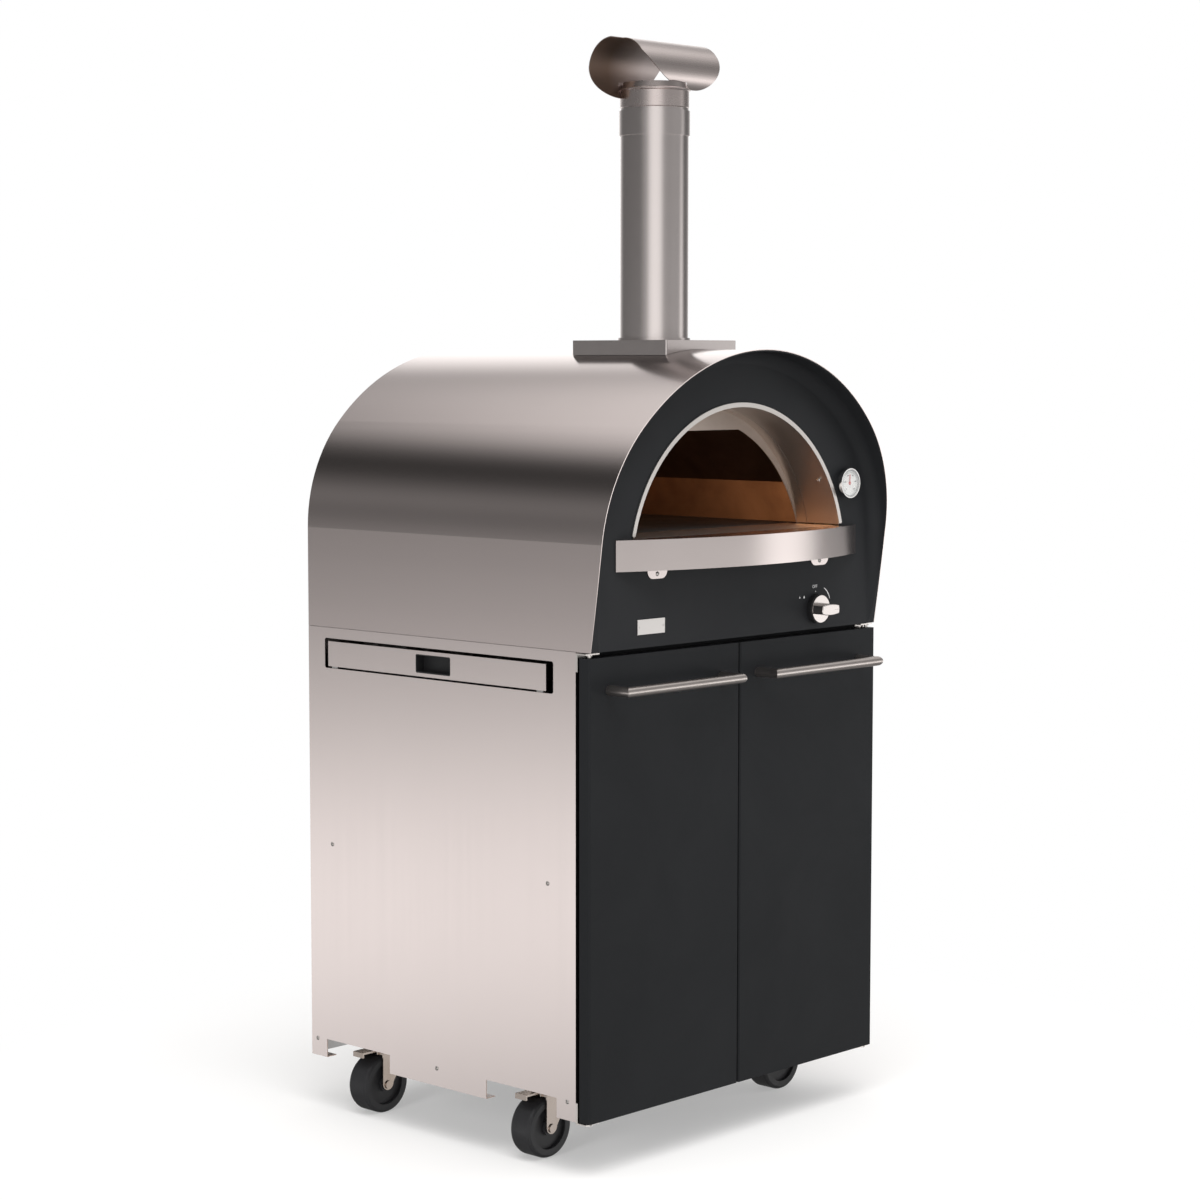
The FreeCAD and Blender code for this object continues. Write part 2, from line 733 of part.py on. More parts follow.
def wheel(cx, cy):
    axle_x = cx - caster_trail
    half = wheel_width / 2
    bore_x = axle_x + axle_radius + axle_play
    hub_x = axle_x + hub_radius
    web_x = axle_x + wheel_radius - tyre_depth
    tread_x = axle_x + wheel_radius
    web_y = half - web_recess
    nip = 0.3 * tread_corner
    one_side = [(bore_x, half), (hub_x, half), (hub_x, web_y), (web_x, web_y), (web_x, half),
                (tread_x - tread_corner, half), (tread_x - nip, half - nip),
                (tread_x, half - tread_corner)]
    other_side = [(x, -y) for x, y in reversed(one_side)]
    corners = [point(x, cy + y, wheel_z) for x, y in one_side + other_side + one_side[:1]]
    profile = Part.Face(Part.makePolygon(corners))
    return profile.revolve(point(axle_x, cy, wheel_z), Y_AXIS, 360)


def pedal(cx, cy):
    pivot_x = cx + pedal_pivot_x
    y0 = cy - pedal_width / 2
    barrel_part = rod(4.0, pivot_x, y0, pedal_pivot_z, Y_AXIS, pedal_width)
    plate = block(pivot_x - pedal_length, pivot_x, y0, y0 + pedal_width, pedal_pivot_z + 0.5,
                  pedal_pivot_z + 3.5)
    tip = block(pivot_x - pedal_length, pivot_x - pedal_length + 3, y0, y0 + pedal_width,
                pedal_pivot_z - 5, pedal_pivot_z + 3.5)
    bore = rod(pedal_pin_radius + axle_play, pivot_x, y0 - 1, pedal_pivot_z, Y_AXIS, pedal_width + 2)
    return join([barrel_part, plate, tip]).cut(bore)


save("caster_plates", [caster_top_plate(*caster_places[k]) for k in sorted(caster_places)])
for corner in sorted(caster_places):
    save("caster_fork_" + corner, [fork(*caster_places[corner])])
    save("wheel_" + corner, [wheel(*caster_places[corner])])
    save("brake_pedal_" + corner, [pedal(*caster_places[corner])])

# Oven on its feet: base pan, barrel skin, dished front panel and rear plate
feet = [rod(foot_radius, side * foot_reach, y, body_top, Z_AXIS, oven_lift)
        for side in (-1, 1) for y in (front + foot_inset, back - foot_inset)]
save("oven_feet", feet)
panel_back = face + hood_wall
inner_half = oven_half - barrel_sheet
base = block(-inner_half, inner_half, panel_back, oven_back - rear_plate, oven_bottom,
             oven_bottom + base_plate)
flue_hole = rod(sleeve_radius + sleeve_play, 0, flue_y, hearth, Z_AXIS, 500)
rim_front = face - hood_lean - 5
skin = barrel(0, rim_front, oven_back, body_top).cut(
    barrel(barrel_sheet, rim_front - 1, oven_back + 1, body_top - 5))
skin = skin.common(hood_sweep()).cut(flue_hole)
save("oven_shell", [skin])
save("oven_back", [barrel(barrel_sheet + panel_play, oven_back - rear_plate, oven_back, body_top)])

tunnel_outer = mouth_radius - mouth_play
tunnel_inner = tunnel_outer - tunnel_sheet
pocket = barrel(barrel_sheet + panel_play + hood_wall, rim_front - 5, face, body_top - 60)
pocket_edges = [e for e in pocket.Edges
                if abs(e.CenterOfMass.y - face) < 0.01 and e.CenterOfMass.z > body_top - 40]
pocket = pocket.makeFillet(dish_fillet, pocket_edges)
dish = barrel(barrel_sheet + panel_play, rim_front, panel_back, body_top)
dish = dish.common(hood_sweep()).cut(pocket)


def above(height):
    """Everything in the mouth's part of the oven above a height."""
    return block(-400, 400, face - 100, face + 200, height, height + 400)


mouth_hole = rod(mouth_radius, 0, face - 50, mouth_centre, Y_AXIS, 100).common(above(hearth))
knob_z = oven_bottom + knob_rise
dial_z = oven_bottom + dial_rise
dial_y = face - dial_neck - dial_case_depth
stem_hole_radius = stem_radius + 0.8
panel_holes = [mouth_hole, rod(knob_shaft_radius + 2, knob_reach, face - 5, knob_z, Y_AXIS, 10),
               rod(stem_hole_radius, dial_reach, face - 5, dial_z, Y_AXIS, 10)]
mantel_bottom = hearth - mantel_height
mantel_screw_z = mantel_bottom - mantel_tab_drop / 2
mantel_holes = [rod(screw_radius + screw_clearance, side * mantel_tab_reach, face - 5,
                    mantel_screw_z, Y_AXIS, 10) for side in (-1, 1)]
save("front_panel", [without(dish, panel_holes + mantel_holes)])

# Mouth trim with rounded feet, over the front end of the tunnel lining
trim_outer = mouth_radius + trim_lap
trim_foot = hearth + trim_foot_gap
trim = ring(trim_outer, trim_outer - trim_width, 0, face - trim_depth, mouth_centre, Y_AXIS,
            trim_depth).common(above(trim_foot))
trim_corners = [e for e in trim.Edges
                if abs(e.CenterOfMass.z - trim_foot) < 0.01 and e.Length < trim_depth + 0.01]
save("mouth_trim", [trim.makeFillet(trim_width / 3, trim_corners)])

# Mouth tunnel: the lining in two lengths, its side screws' holes, and a folded steel floor
tunnel_end_y = front + tunnel_end
seam_y = front + tunnel_seam
lining_foot = hearth + tunnel_foot_gap
tunnel = ring(tunnel_outer, tunnel_inner, 0, face, mouth_centre, Y_AXIS, seam_y - face)
tunnel_rear = ring(tunnel_outer, tunnel_inner - 0.6, 0, seam_y + 0.6, mouth_centre, Y_AXIS,
                   tunnel_end_y - seam_y - 0.6)
screw_side = math.cos(math.radians(lining_screw_angle))
screw_rise = math.sin(math.radians(lining_screw_angle))


def lining_rod(radius, start, length):
    """Rod that points away from the mouth's axis, at the lining's right-hand screw."""
    return rod(radius, start * screw_side, face + lining_screw_setback,
               mouth_centre + start * screw_rise, point(screw_side, 0, screw_rise), length)


lining_hole = lining_rod(screw_radius + screw_clearance, tunnel_inner - 5, 10)
tunnel = tunnel.common(above(lining_foot)).cut(lining_hole).cut(mirrored(lining_hole))
tile_bottom = hearth - tile_thickness
mouth_floor_y0 = panel_back + panel_play
mouth_floor_y1 = front + mouth_floor_end
floor_side = block(-mouth_floor_reach, -mouth_floor_reach + mouth_floor_sheet, mouth_floor_y0,
                   mouth_floor_y1, tile_bottom, hearth)
mouth_floor = join([block(-mouth_floor_reach, mouth_floor_reach, mouth_floor_y0, mouth_floor_y1,
                          hearth - mouth_floor_sheet, hearth), floor_side, mirrored(floor_side)])
save("mouth_tunnel", [tunnel, tunnel_rear.common(above(lining_foot)), mouth_floor])


# Cooking chamber: a front wall with a flat-topped throat, and the vault behind it
def chamber(inset, y0, y1, bottom):
    """Prism of the cooking chamber: upright walls and a low vault, drawn in by inset."""
    reach = chamber_half_width - inset
    spring = hearth + chamber_wall_rise
    rise = chamber_vault_rise
    radius = (chamber_half_width ** 2 + rise ** 2) / (2 * rise)
    centre = spring + rise - radius
    drawn = radius - inset
    meet = centre + math.sqrt(drawn ** 2 - reach ** 2)
    outline = [line(point(-reach, y0, bottom), point(-reach, y0, meet)),
               arc(point(-reach, y0, meet), point(0, y0, centre + drawn), point(reach, y0, meet)),
               line(point(reach, y0, meet), point(reach, y0, bottom)),
               line(point(reach, y0, bottom), point(-reach, y0, bottom))]
    return prism(outline, y0, y1)


wall_y1 = tunnel_end_y + chamber_sheet
wall = chamber(-14.0, tunnel_end_y, wall_y1, tile_bottom)
throat_top = oven_bottom + throat_edge_rise
throat = rod(throat_radius, 0, tunnel_end_y - 5, oven_bottom + throat_centre_rise, Y_AXIS, 20)
throat = throat.common(block(-400, 400, face, wall_y1 + 50, tile_bottom - 5, throat_top))
stem_hole = rod(stem_hole_radius, dial_reach, tunnel_end_y - 5, dial_z, Y_AXIS, 20)
save("chamber_front", [without(wall, [throat, stem_hole])])
vault_end = front + chamber_back
vault = chamber(-chamber_sheet, wall_y1, vault_end + chamber_sheet, tile_bottom).cut(
    chamber(0, wall_y1 - 1, vault_end, tile_bottom - 10)).cut(flue_hole)
save("chamber_vault", [vault])

# Insulation: a blanket over the vault and a board under the hearth, carried on two rails
board_base = tile_bottom - board_thickness
blanket = barrel(barrel_sheet + blanket_gap, wall_y1, oven_back - rear_plate - blanket_gap,
                 tile_bottom)
blanket = blanket.cut(chamber(-chamber_sheet - blanket_gap, wall_y1 - 1,
                              vault_end + chamber_sheet + blanket_gap, tile_bottom - 10))
board_front_y = panel_back + 2
burner_x = -chamber_half_width + burner_inset
feed_y = wall_y1 + 45.0
feed_hole = rod(gas_pipe_radius + 1.5, burner_x, feed_y, board_base - 10, Z_AXIS, 200)
gas_z = knob_z
save("insulation_blanket", [blanket.cut(flue_hole)])
hearth_board = block(-oven_half + 12, oven_half - 12, board_front_y, oven_back - 12, board_base,
                     tile_bottom)
save("insulation_board", [hearth_board.cut(feed_hole)])
rails = []
rail_y0 = board_front_y + 45
rail_y1 = oven_back - 20
rail_foot = oven_bottom + base_plate
for side in (-1, 1):
    x = side * hearth_rail_reach
    web = hearth_rail_sheet / 2
    wing = hearth_rail_width / 2
    rails.append(join([block(x - web, x + web, rail_y0, rail_y1, rail_foot, board_base),
                       block(x - wing, x + wing, rail_y0, rail_y1, rail_foot, rail_foot + 2),
                       block(x - wing, x + wing, rail_y0, rail_y1, board_base - 2, board_base)]))

# Hearth tiles, in a grid behind the mouth's steel floor
tiles = []
tile_length = (vault_end - mouth_floor_y1) / tile_rows
tile_width = 2 * chamber_half_width / tile_columns
for i in range(tile_columns):
    for j in range(tile_rows):
        x0 = -chamber_half_width + i * tile_width
        y0 = mouth_floor_y1 + j * tile_length
        tile = block(x0 + tile_joint / 2, x0 + tile_width - tile_joint / 2, y0 + tile_joint / 2,
                     y0 + tile_length - tile_joint / 2, tile_bottom, hearth)
        tiles.append(tile.cut(feed_hole))
save("hearth_tiles", tiles)

# Gas burner along the left wall, fed by a pipe from the valve behind the knob
burner_z = hearth + burner_radius + 2.0
burner_y0 = wall_y1 + 22.0
burner_y1 = vault_end - 28.0
burner = rod(burner_radius, burner_x, burner_y0, burner_z, Y_AXIS, burner_y1 - burner_y0)
burner = burner.cut(rod(burner_radius - 1.5, burner_x, burner_y0 + 2, burner_z, Y_AXIS,
                        burner_y1 - burner_y0 - 4))
ports = [rod(1.5, burner_x, burner_y0 + 48 + burner_port_spacing * i, burner_z, Z_AXIS,
             burner_radius + 2) for i in range(13)]
saddles = [block(burner_x - 8, burner_x + 8, y - 4, y + 4, hearth, burner_z - burner_radius + 1)
           for y in (burner_y0 + 58, burner_y1 - 32)]
save("gas_burner", [without(join([burner] + saddles), ports)])
half_valve = gas_valve_size / 2
pipe_y0 = panel_back + gas_valve_size
valve = block(knob_reach - half_valve, knob_reach + half_valve, panel_back, pipe_y0,
              knob_z - half_valve + 1, knob_z + half_valve - 1)
spindle_bore = rod(knob_shaft_radius + axle_play, knob_reach, panel_back - 1, knob_z, Y_AXIS, 24)
pipe_parts = [rod(gas_pipe_radius, knob_reach, pipe_y0, gas_z, Y_AXIS, feed_y - pipe_y0),
              Part.makeSphere(gas_pipe_radius, point(knob_reach, feed_y, gas_z)),
              rod(gas_pipe_radius, burner_x, feed_y, gas_z, X_AXIS, knob_reach - burner_x),
              Part.makeSphere(gas_pipe_radius, point(burner_x, feed_y, gas_z)),
              rod(gas_pipe_radius, burner_x, feed_y, gas_z, Z_AXIS,
                  burner_z - burner_radius - 0.3 - gas_z)]
save("gas_valve_and_pipe", [valve.cut(spindle_bore), join(pipe_parts)])
crossing = rod(gas_pipe_radius + 1.0, burner_x - 20, feed_y, gas_z, X_AXIS, 480)
save("oven_base_and_rails", [base] + [r.cut(crossing) for r in rails])

# Mantel: a bowed, open-bottomed ledge with short square ends and two screw tabs
mantel_rise = mantel_bow - mantel_end
mantel_radius = (mantel_half_width ** 2 + mantel_rise ** 2) / (2 * mantel_rise)
mantel_centre = face - mantel_bow + mantel_radius
inner_reach = mantel_half_width - mantel_sheet
outer = rod(mantel_radius, 0, mantel_centre, mantel_bottom, Z_AXIS, mantel_height).common(
    block(-mantel_half_width, mantel_half_width, face - 100, face, mantel_bottom, hearth))
inner = rod(mantel_radius - mantel_sheet, 0, mantel_centre, mantel_bottom - 1, Z_AXIS,
            mantel_height + 1 - mantel_sheet).common(
    block(-inner_reach, inner_reach, face - 100, face + 1, mantel_bottom - 1, hearth))
tab_foot = mantel_bottom - mantel_tab_drop
tab = block(mantel_tab_reach - mantel_tab_width / 2, mantel_tab_reach + mantel_tab_width / 2,
            face - mantel_sheet, face, tab_foot, hearth)
tab_corners = [e for e in tab.Edges
               if abs(e.CenterOfMass.z - tab_foot) < 0.01 and e.Length < mantel_sheet + 0.01]
tab = tab.makeFillet(mantel_tab_corner, tab_corners)
save("mantel", [without(join([outer.cut(inner), tab, mirrored(tab)]), mantel_holes)])

# Flue: saddle box, pipe with rings, and the cowl
box_top = barrel_top + flue_box_top
box_y0 = flue_y - flue_box_depth / 2
box_y1 = flue_y + flue_box_depth / 2
flue_box = block(-flue_box_width / 2, flue_box_width / 2, box_y0, box_y1, barrel_top - 40, box_top)
upright = [e for e in flue_box.Edges if abs(e.tangentAt(e.FirstParameter).z) > 0.99]
flue_box = flue_box.makeFillet(3.0, upright)
flue_box = flue_box.cut(block(-flue_box_width / 2 + flue_box_wall,
                              flue_box_width / 2 - flue_box_wall, box_y0 + flue_box_wall,
                              box_y1 - flue_box_wall, barrel_top - 50, box_top - flue_box_wall))
flue_box = flue_box.cut(barrel(-0.3, box_y0 - 10, box_y1 + 10, hearth))
flue_box = flue_box.cut(rod(sleeve_radius + sleeve_play, 0, flue_y, barrel_top, Z_AXIS, 60))
save("flue_box", [flue_box])
vault_top = hearth + chamber_wall_rise + chamber_vault_rise
sleeve = ring(sleeve_radius, sleeve_radius - flue_sheet, 0, flue_y, vault_top - 14, Z_AXIS,
              box_top - vault_top + 20)
pipe_top = box_top + flue_length + collar_height + 4.0
save("flue_pipe", [ring(flue_radius, flue_radius - flue_sheet, 0, flue_y, box_top, Z_AXIS,
                        pipe_top - box_top), sleeve])
foot_ring = ring(flue_radius + foot_ring_width, flue_radius + sleeve_play, 0, flue_y, box_top, Z_AXIS,
                 foot_ring_height)
collar = ring(flue_radius + collar_step + sleeve_play, flue_radius + sleeve_play, 0, flue_y,
              box_top + flue_length, Z_AXIS, collar_height)
save("flue_rings", [foot_ring, collar])

cowl_z = pipe_top
neck_outer = flue_radius + 0.5
neck_inner = flue_radius - flue_sheet - sleeve_play - 1.5
neck_step = cowl_z + upper_collar_height
spigot_top = neck_step + bead_height + spigot_height
bead = neck_outer + bead_depth
sleeve_outer = flue_radius - flue_sheet - sleeve_play
neck_points = [(neck_inner, cowl_z - 14), (sleeve_outer, cowl_z - 14), (sleeve_outer, cowl_z),
               (flue_radius - 0.5, cowl_z), (neck_outer, cowl_z + 1.5), (neck_outer, neck_step),
               (bead, neck_step + 1.5), (bead, neck_step + bead_height - 1.5),
               (neck_inner + 1.5, neck_step + bead_height), (cowl_radius + 1.5, spigot_top),
               (cowl_radius, spigot_top), (cowl_radius, neck_step + bead_height + 2),
               (neck_inner, neck_step + bead_height - 3), (neck_inner, cowl_z - 14)]
neck = Part.Face(Part.makePolygon([point(r, flue_y, z) for r, z in neck_points]))
neck = neck.revolve(point(0, flue_y, 0), Z_AXIS, 360)
cowl_axis = cowl_z + upper_collar_height + cowl_axis_rise
cowl_margin = 20.0


def cowl_half(side, end, corner, lower, sweep, foot):
    """One half of the cowl's tube: a round-cornered end on one side, a long sweep on the other."""
    def at(along, up):
        return point(side * along, flue_y, cowl_axis + up)

    top = cowl_radius + cowl_margin
    turn = math.asin((foot + cowl_tail) / sweep)
    tail_z = sweep - lower - sweep * math.cos(turn)
    corner_mid = at(end - corner + corner * math.sqrt(0.5), corner - lower - corner * math.sqrt(0.5))
    sweep_mid = at(foot - sweep * math.sin(turn / 2), sweep - lower - sweep * math.cos(turn / 2))
    edges = [Part.makeLine(at(-cowl_tail, top), at(end, top)),
             Part.makeLine(at(end, top), at(end, corner - lower)),
             Part.Arc(at(end, corner - lower), corner_mid, at(end - corner, -lower)).toShape(),
             Part.makeLine(at(end - corner, -lower), at(foot, -lower)),
             Part.Arc(at(foot, -lower), sweep_mid, at(-cowl_tail, tail_z)).toShape(),
             Part.makeLine(at(-cowl_tail, tail_z), at(-cowl_tail, top))]
    outline = Part.Face(Part.Wire(Part.__sortEdges__(edges)))
    tube = ring(cowl_radius, cowl_radius - cowl_sheet, -cowl_near_end - cowl_margin, flue_y, cowl_axis,
                X_AXIS, 2 * (cowl_near_end + cowl_margin))
    return tube.common(outline.extrude(point(0, -side * top, 0)))


near_half = cowl_half(1, cowl_near_end, cowl_near_corner, cowl_near_lower, cowl_near_sweep,
                      cowl_near_foot)
far_half = cowl_half(-1, cowl_far_end, cowl_far_corner, cowl_far_lower, cowl_far_sweep,
                     cowl_far_foot)
bore_cut = rod(neck_inner + 0.7, 0, flue_y, cowl_z - 20, Z_AXIS, spigot_top - cowl_z + 20)
cowl = neck.fuse(near_half.fuse(far_half).cut(bore_cut))
save("flue_cowl", [cowl])

# Thermometer: case with stem, dial, pointer on a spindle and a glass
stem_length = wall_y1 + 14 - face
case = join([rod(dial_radius, dial_reach, dial_y, dial_z, Y_AXIS, dial_case_depth),
             rod(dial_neck_radius, dial_reach, dial_y + dial_case_depth, dial_z, Y_AXIS, dial_neck),
             rod(stem_radius, dial_reach, face - 1, dial_z, Y_AXIS, stem_length)])
dial_bore = dial_radius - dial_lip
dial_face = dial_y + dial_case_depth - 2.0
case = case.cut(rod(dial_bore, dial_reach, dial_y - 1, dial_z, Y_AXIS, dial_face - dial_y + 1))
save("thermometer_case", [case])
dial_disc = rod(dial_bore - dial_play, dial_reach, dial_face - 0.8, dial_z, Y_AXIS, 0.8)
spindle_radius = 0.8
spindle = rod(spindle_radius, dial_reach, dial_face - 2.4, dial_z, Y_AXIS, 2.4)
save("thermometer_dial", [join([dial_disc, spindle])])
pointer_y = dial_face - 2.2
pointer_sheet = 0.8
pointer = join([rod(pointer_hub, dial_reach, pointer_y, dial_z, Y_AXIS, pointer_sheet),
                block(dial_reach - 0.6, dial_reach + 0.6, pointer_y, pointer_y + pointer_sheet,
                      dial_z - pointer_tail, dial_z + pointer_reach)])
save("thermometer_pointer", [pointer.cut(rod(spindle_radius + pin_play, dial_reach, pointer_y - 1,
                                             dial_z, Y_AXIS, 3))])
save("thermometer_glass", [rod(dial_bore - dial_play, dial_reach, dial_y + dial_play, dial_z,
                               Y_AXIS, 1.2)])

# Gas knob: disc with a waisted grip bar and spindle, turning in front of a fixed bezel
knob_play = 0.4
disc_depth = 2.2
disc_y1 = face - bezel_depth - knob_play
disc_y0 = disc_y1 - disc_depth
grip_y0 = disc_y0 - grip_depth
grip_reach = knob_disc_radius - 0.3
disc = rod(knob_disc_radius, knob_reach, disc_y0, knob_z, Y_AXIS, disc_depth)


def on_grip(x, z):
    return point(knob_reach + x, grip_y0, knob_z + z)


mid = grip_height / 2
end = grip_end_height / 2
grip = prism([arc(on_grip(-grip_reach, end), on_grip(0, mid), on_grip(grip_reach, end)),
              line(on_grip(grip_reach, end), on_grip(grip_reach, -end)),
              arc(on_grip(grip_reach, -end), on_grip(0, -mid), on_grip(-grip_reach, -end)),
              line(on_grip(-grip_reach, -end), on_grip(-grip_reach, end))],
             grip_y0, disc_y0 + 0.5)
grip = grip.common(rod(grip_reach, knob_reach, grip_y0 - 5, knob_z, Y_AXIS, 60))
grip_edges = [e for e in grip.Edges if abs(e.CenterOfMass.y - grip_y0) < 0.01]
grip = grip.makeFillet(1.5, grip_edges)
slit = block(knob_reach + grip_reach * 0.35, knob_reach + grip_reach - 3, grip_y0 - 1, grip_y0 + 1,
             knob_z - 0.7, knob_z + 0.7)
spindle = rod(knob_shaft_radius, knob_reach, disc_y1 - 1, knob_z, Y_AXIS,
              panel_back + 18 - disc_y1)
save("gas_knob", [join([disc, grip.cut(slit), spindle])])
save("knob_bezel", [ring(bezel_radius, 8.0, knob_reach, face - bezel_depth, knob_z, Y_AXIS,
                         bezel_depth)])
plate_z = oven_bottom + plate_low
save("blank_plate", [block(plate_left, plate_left + plate_width, face - 1.0, face, plate_z,
                           plate_z + plate_height)])

# Screws on the side panels, mantel tabs and tunnel lining
screws = []
for y, z in side_screws:
    shank = rod(screw_radius, -half_width, front + y, z, X_AXIS, 2 * sheet + 3)
    head = rod(screw_head_radius, -half_width - screw_head, front + y, z, X_AXIS, screw_head)
    screw = join([shank, head])
    screws += [screw, mirrored(screw)]
mantel_screw = join([
    rod(screw_radius, mantel_tab_reach, face - mantel_sheet, mantel_screw_z, Y_AXIS,
        mantel_sheet + hood_wall + 1.5),
    rod(screw_head_radius, mantel_tab_reach, face - mantel_sheet - screw_head, mantel_screw_z,
        Y_AXIS, screw_head)])
lining_seat = math.sqrt(tunnel_inner ** 2 - screw_head_radius ** 2) - lining_screw_play
lining_screw = join([lining_rod(screw_radius, lining_seat, tunnel_sheet + 3),
                     lining_rod(screw_head_radius, lining_seat - screw_head, screw_head)])
screws += [mantel_screw, mirrored(mantel_screw), lining_screw, mirrored(lining_screw)]
save("panel_screws", screws)
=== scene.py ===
# %% [markdown]
# An outdoor pizza oven on a wheeled steel cabinet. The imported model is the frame: its sizes and
# places are fixed, and this lesson adds the camera, the light, the finishes and the fine pieces.

# %% Load the frame
import bpy
import bmesh
import json
import math
from mathutils import Matrix, Vector


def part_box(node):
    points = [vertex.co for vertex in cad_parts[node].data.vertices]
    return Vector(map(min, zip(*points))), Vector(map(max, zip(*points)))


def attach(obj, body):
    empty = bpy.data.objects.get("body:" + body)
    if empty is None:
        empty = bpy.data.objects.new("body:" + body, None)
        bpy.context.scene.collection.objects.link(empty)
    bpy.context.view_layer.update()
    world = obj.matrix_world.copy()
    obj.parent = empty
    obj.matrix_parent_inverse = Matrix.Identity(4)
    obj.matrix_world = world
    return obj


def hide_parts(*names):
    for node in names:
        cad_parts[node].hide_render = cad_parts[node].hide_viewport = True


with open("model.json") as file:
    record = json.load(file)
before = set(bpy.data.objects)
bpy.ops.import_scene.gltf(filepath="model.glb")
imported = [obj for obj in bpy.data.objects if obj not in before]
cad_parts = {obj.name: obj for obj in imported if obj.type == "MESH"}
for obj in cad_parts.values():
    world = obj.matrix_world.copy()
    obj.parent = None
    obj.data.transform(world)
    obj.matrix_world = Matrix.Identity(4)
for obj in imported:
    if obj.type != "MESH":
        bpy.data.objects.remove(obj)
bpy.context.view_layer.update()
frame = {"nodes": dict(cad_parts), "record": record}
nodes = frame["nodes"]
print("loaded", len(nodes), "nodes")

# %% [markdown]
# The camera stands to the left of the doors at chest height. Its place, its turn and its long
# lens were worked out from the straight edges of the cabinet and the circles of the oven, so
# that every corner falls where the photograph has it.

# %% The camera
camera_place = Vector((-3.3346, -3.1409, 1.2515))
camera_turn = math.radians(-46.576)
camera_pitch = math.radians(4.954)
camera_roll = 0.0005
lens_on_a_36_mm_sensor = 82.6

camera_data = bpy.data.cameras.new("viewpoint")
camera_data.lens = lens_on_a_36_mm_sensor
camera_data.sensor_width = 36.0
camera_data.clip_end = 200.0
camera = bpy.data.objects.new("viewpoint", camera_data)
bpy.context.scene.collection.objects.link(camera)
aim = Matrix.Rotation(camera_turn, 4, "Z") @ Matrix.Rotation(math.radians(90) - camera_pitch, 4, "X")
aim = aim @ Matrix.Rotation(camera_roll, 4, "Z")
camera.matrix_world = Matrix.Translation(camera_place) @ aim
bpy.context.scene.camera = camera
bpy.context.scene.view_settings.view_transform = "Standard"
view_direction = aim.to_3x3() @ Vector((0, 0, -1))
print("camera looks along", [round(v, 3) for v in view_direction])

# %% [markdown]
# Node trees get long, so a few small helpers keep each material readable. They add a node with
# its values, start a material, turn a mask into a colour or a number, join two numbers, and make
# and place a node group. Values that are the same all over a surface are set on the shader.


# %% Helpers for node trees
def add(tree, kind, settings=None, **values):
    """A new node; settings are its properties, and values are its unlinked inputs by name."""
    node = tree.nodes.new(kind)
    for name, value in (settings or {}).items():
        setattr(node, name, value)
    for name, value in values.items():
        node.inputs[name.replace("_", " ")].default_value = value
    return node


def start_material(name, **shader_values):
    """A material whose main shader has these plain values, with Object coordinates at hand."""
    material = bpy.data.materials.new(name)
    material.use_nodes = True
    tree = material.node_tree
    shader = tree.nodes["Principled BSDF"]
    for socket, value in shader_values.items():
        shader.inputs[socket.replace("_", " ")].default_value = value
    place = add(tree, "ShaderNodeTexCoord").outputs["Object"]
    return material, tree, shader, place


def blend_colours(tree, mask, low, high):
    """A colour that goes from low to high as the mask goes from 0 to 1."""
    ramp = add(tree, "ShaderNodeMix", {"data_type": "RGBA"})
    ramp.inputs[6].default_value = (*low, 1.0)
    ramp.inputs[7].default_value = (*high, 1.0)
    tree.links.new(mask, ramp.inputs[0])
    return ramp.outputs[2]


def stretch(tree, mask, low, high):
    """A number that goes from low to high as the mask goes from 0 to 1."""
    spread = add(tree, "ShaderNodeMapRange")
    spread.inputs["To Min"].default_value = low
    spread.inputs["To Max"].default_value = high
    tree.links.new(mask, spread.inputs["Value"])
    return spread.outputs["Result"]


def combine(tree, operation, first, second):
    """One number from two, by a math node's operation."""
    joined = add(tree, "ShaderNodeMath", {"operation": operation})
    tree.links.new(first, joined.inputs[0])
    tree.links.new(second, joined.inputs[1])
    return joined.outputs[0]


def start_group(name, inputs, outputs):
    """A node group with named inputs (name, socket kind, default) and outputs (name, kind)."""
    group = bpy.data.node_groups.new(name, "ShaderNodeTree")
    for label, kind, default in inputs:
        socket = group.interface.new_socket(name=label, in_out="INPUT", socket_type=kind)
        if default is not None:
            socket.default_value = default
    for label, kind in outputs:
        group.interface.new_socket(name=label, in_out="OUTPUT", socket_type=kind)
    return group, group.nodes.new("NodeGroupInput"), group.nodes.new("NodeGroupOutput")


def use_group(tree, group, place, **values):
    """The group as a node in this tree, fed with the place and these values."""
    node = tree.nodes.new("ShaderNodeGroup")
    node.node_tree = group
    tree.links.new(place, node.inputs["Place"])
    for label, value in values.items():
        node.inputs[label].default_value = value
    return node


# %% [markdown]
# Brushed steel shows fine parallel lines from the abrasive belt. Noise that is squeezed hard
# across the belt's travel and left long along it gives such lines; a second, wider noise makes
# some bands a little duller than others. The group hands out both masks and a normal.

# %% Brushed lines, shared by every steel
brushed_lines, entry, exit_ = start_group(
    "brushed_lines",
    [("Place", "NodeSocketVector", None), ("Squeeze", "NodeSocketVector", (900.0, 6.0, 900.0)),
     ("Depth", "NodeSocketFloat", 0.1)],
    [("Lines", "NodeSocketFloat"), ("Bands", "NodeSocketFloat"), ("Normal", "NodeSocketVector")])
squeeze = add(brushed_lines, "ShaderNodeVectorMath", {"operation": "MULTIPLY"})
brushed_lines.links.new(entry.outputs["Place"], squeeze.inputs[0])
brushed_lines.links.new(entry.outputs["Squeeze"], squeeze.inputs[1])
lines = add(brushed_lines, "ShaderNodeTexNoise", Scale=1.0, Detail=3.0, Roughness=0.6)
brushed_lines.links.new(squeeze.outputs[0], lines.inputs["Vector"])
bands = add(brushed_lines, "ShaderNodeTexNoise", Scale=0.06, Detail=2.0, Roughness=0.5)
brushed_lines.links.new(squeeze.outputs[0], bands.inputs["Vector"])
groove = add(brushed_lines, "ShaderNodeBump", Distance=0.0002)
brushed_lines.links.new(entry.outputs["Depth"], groove.inputs["Strength"])
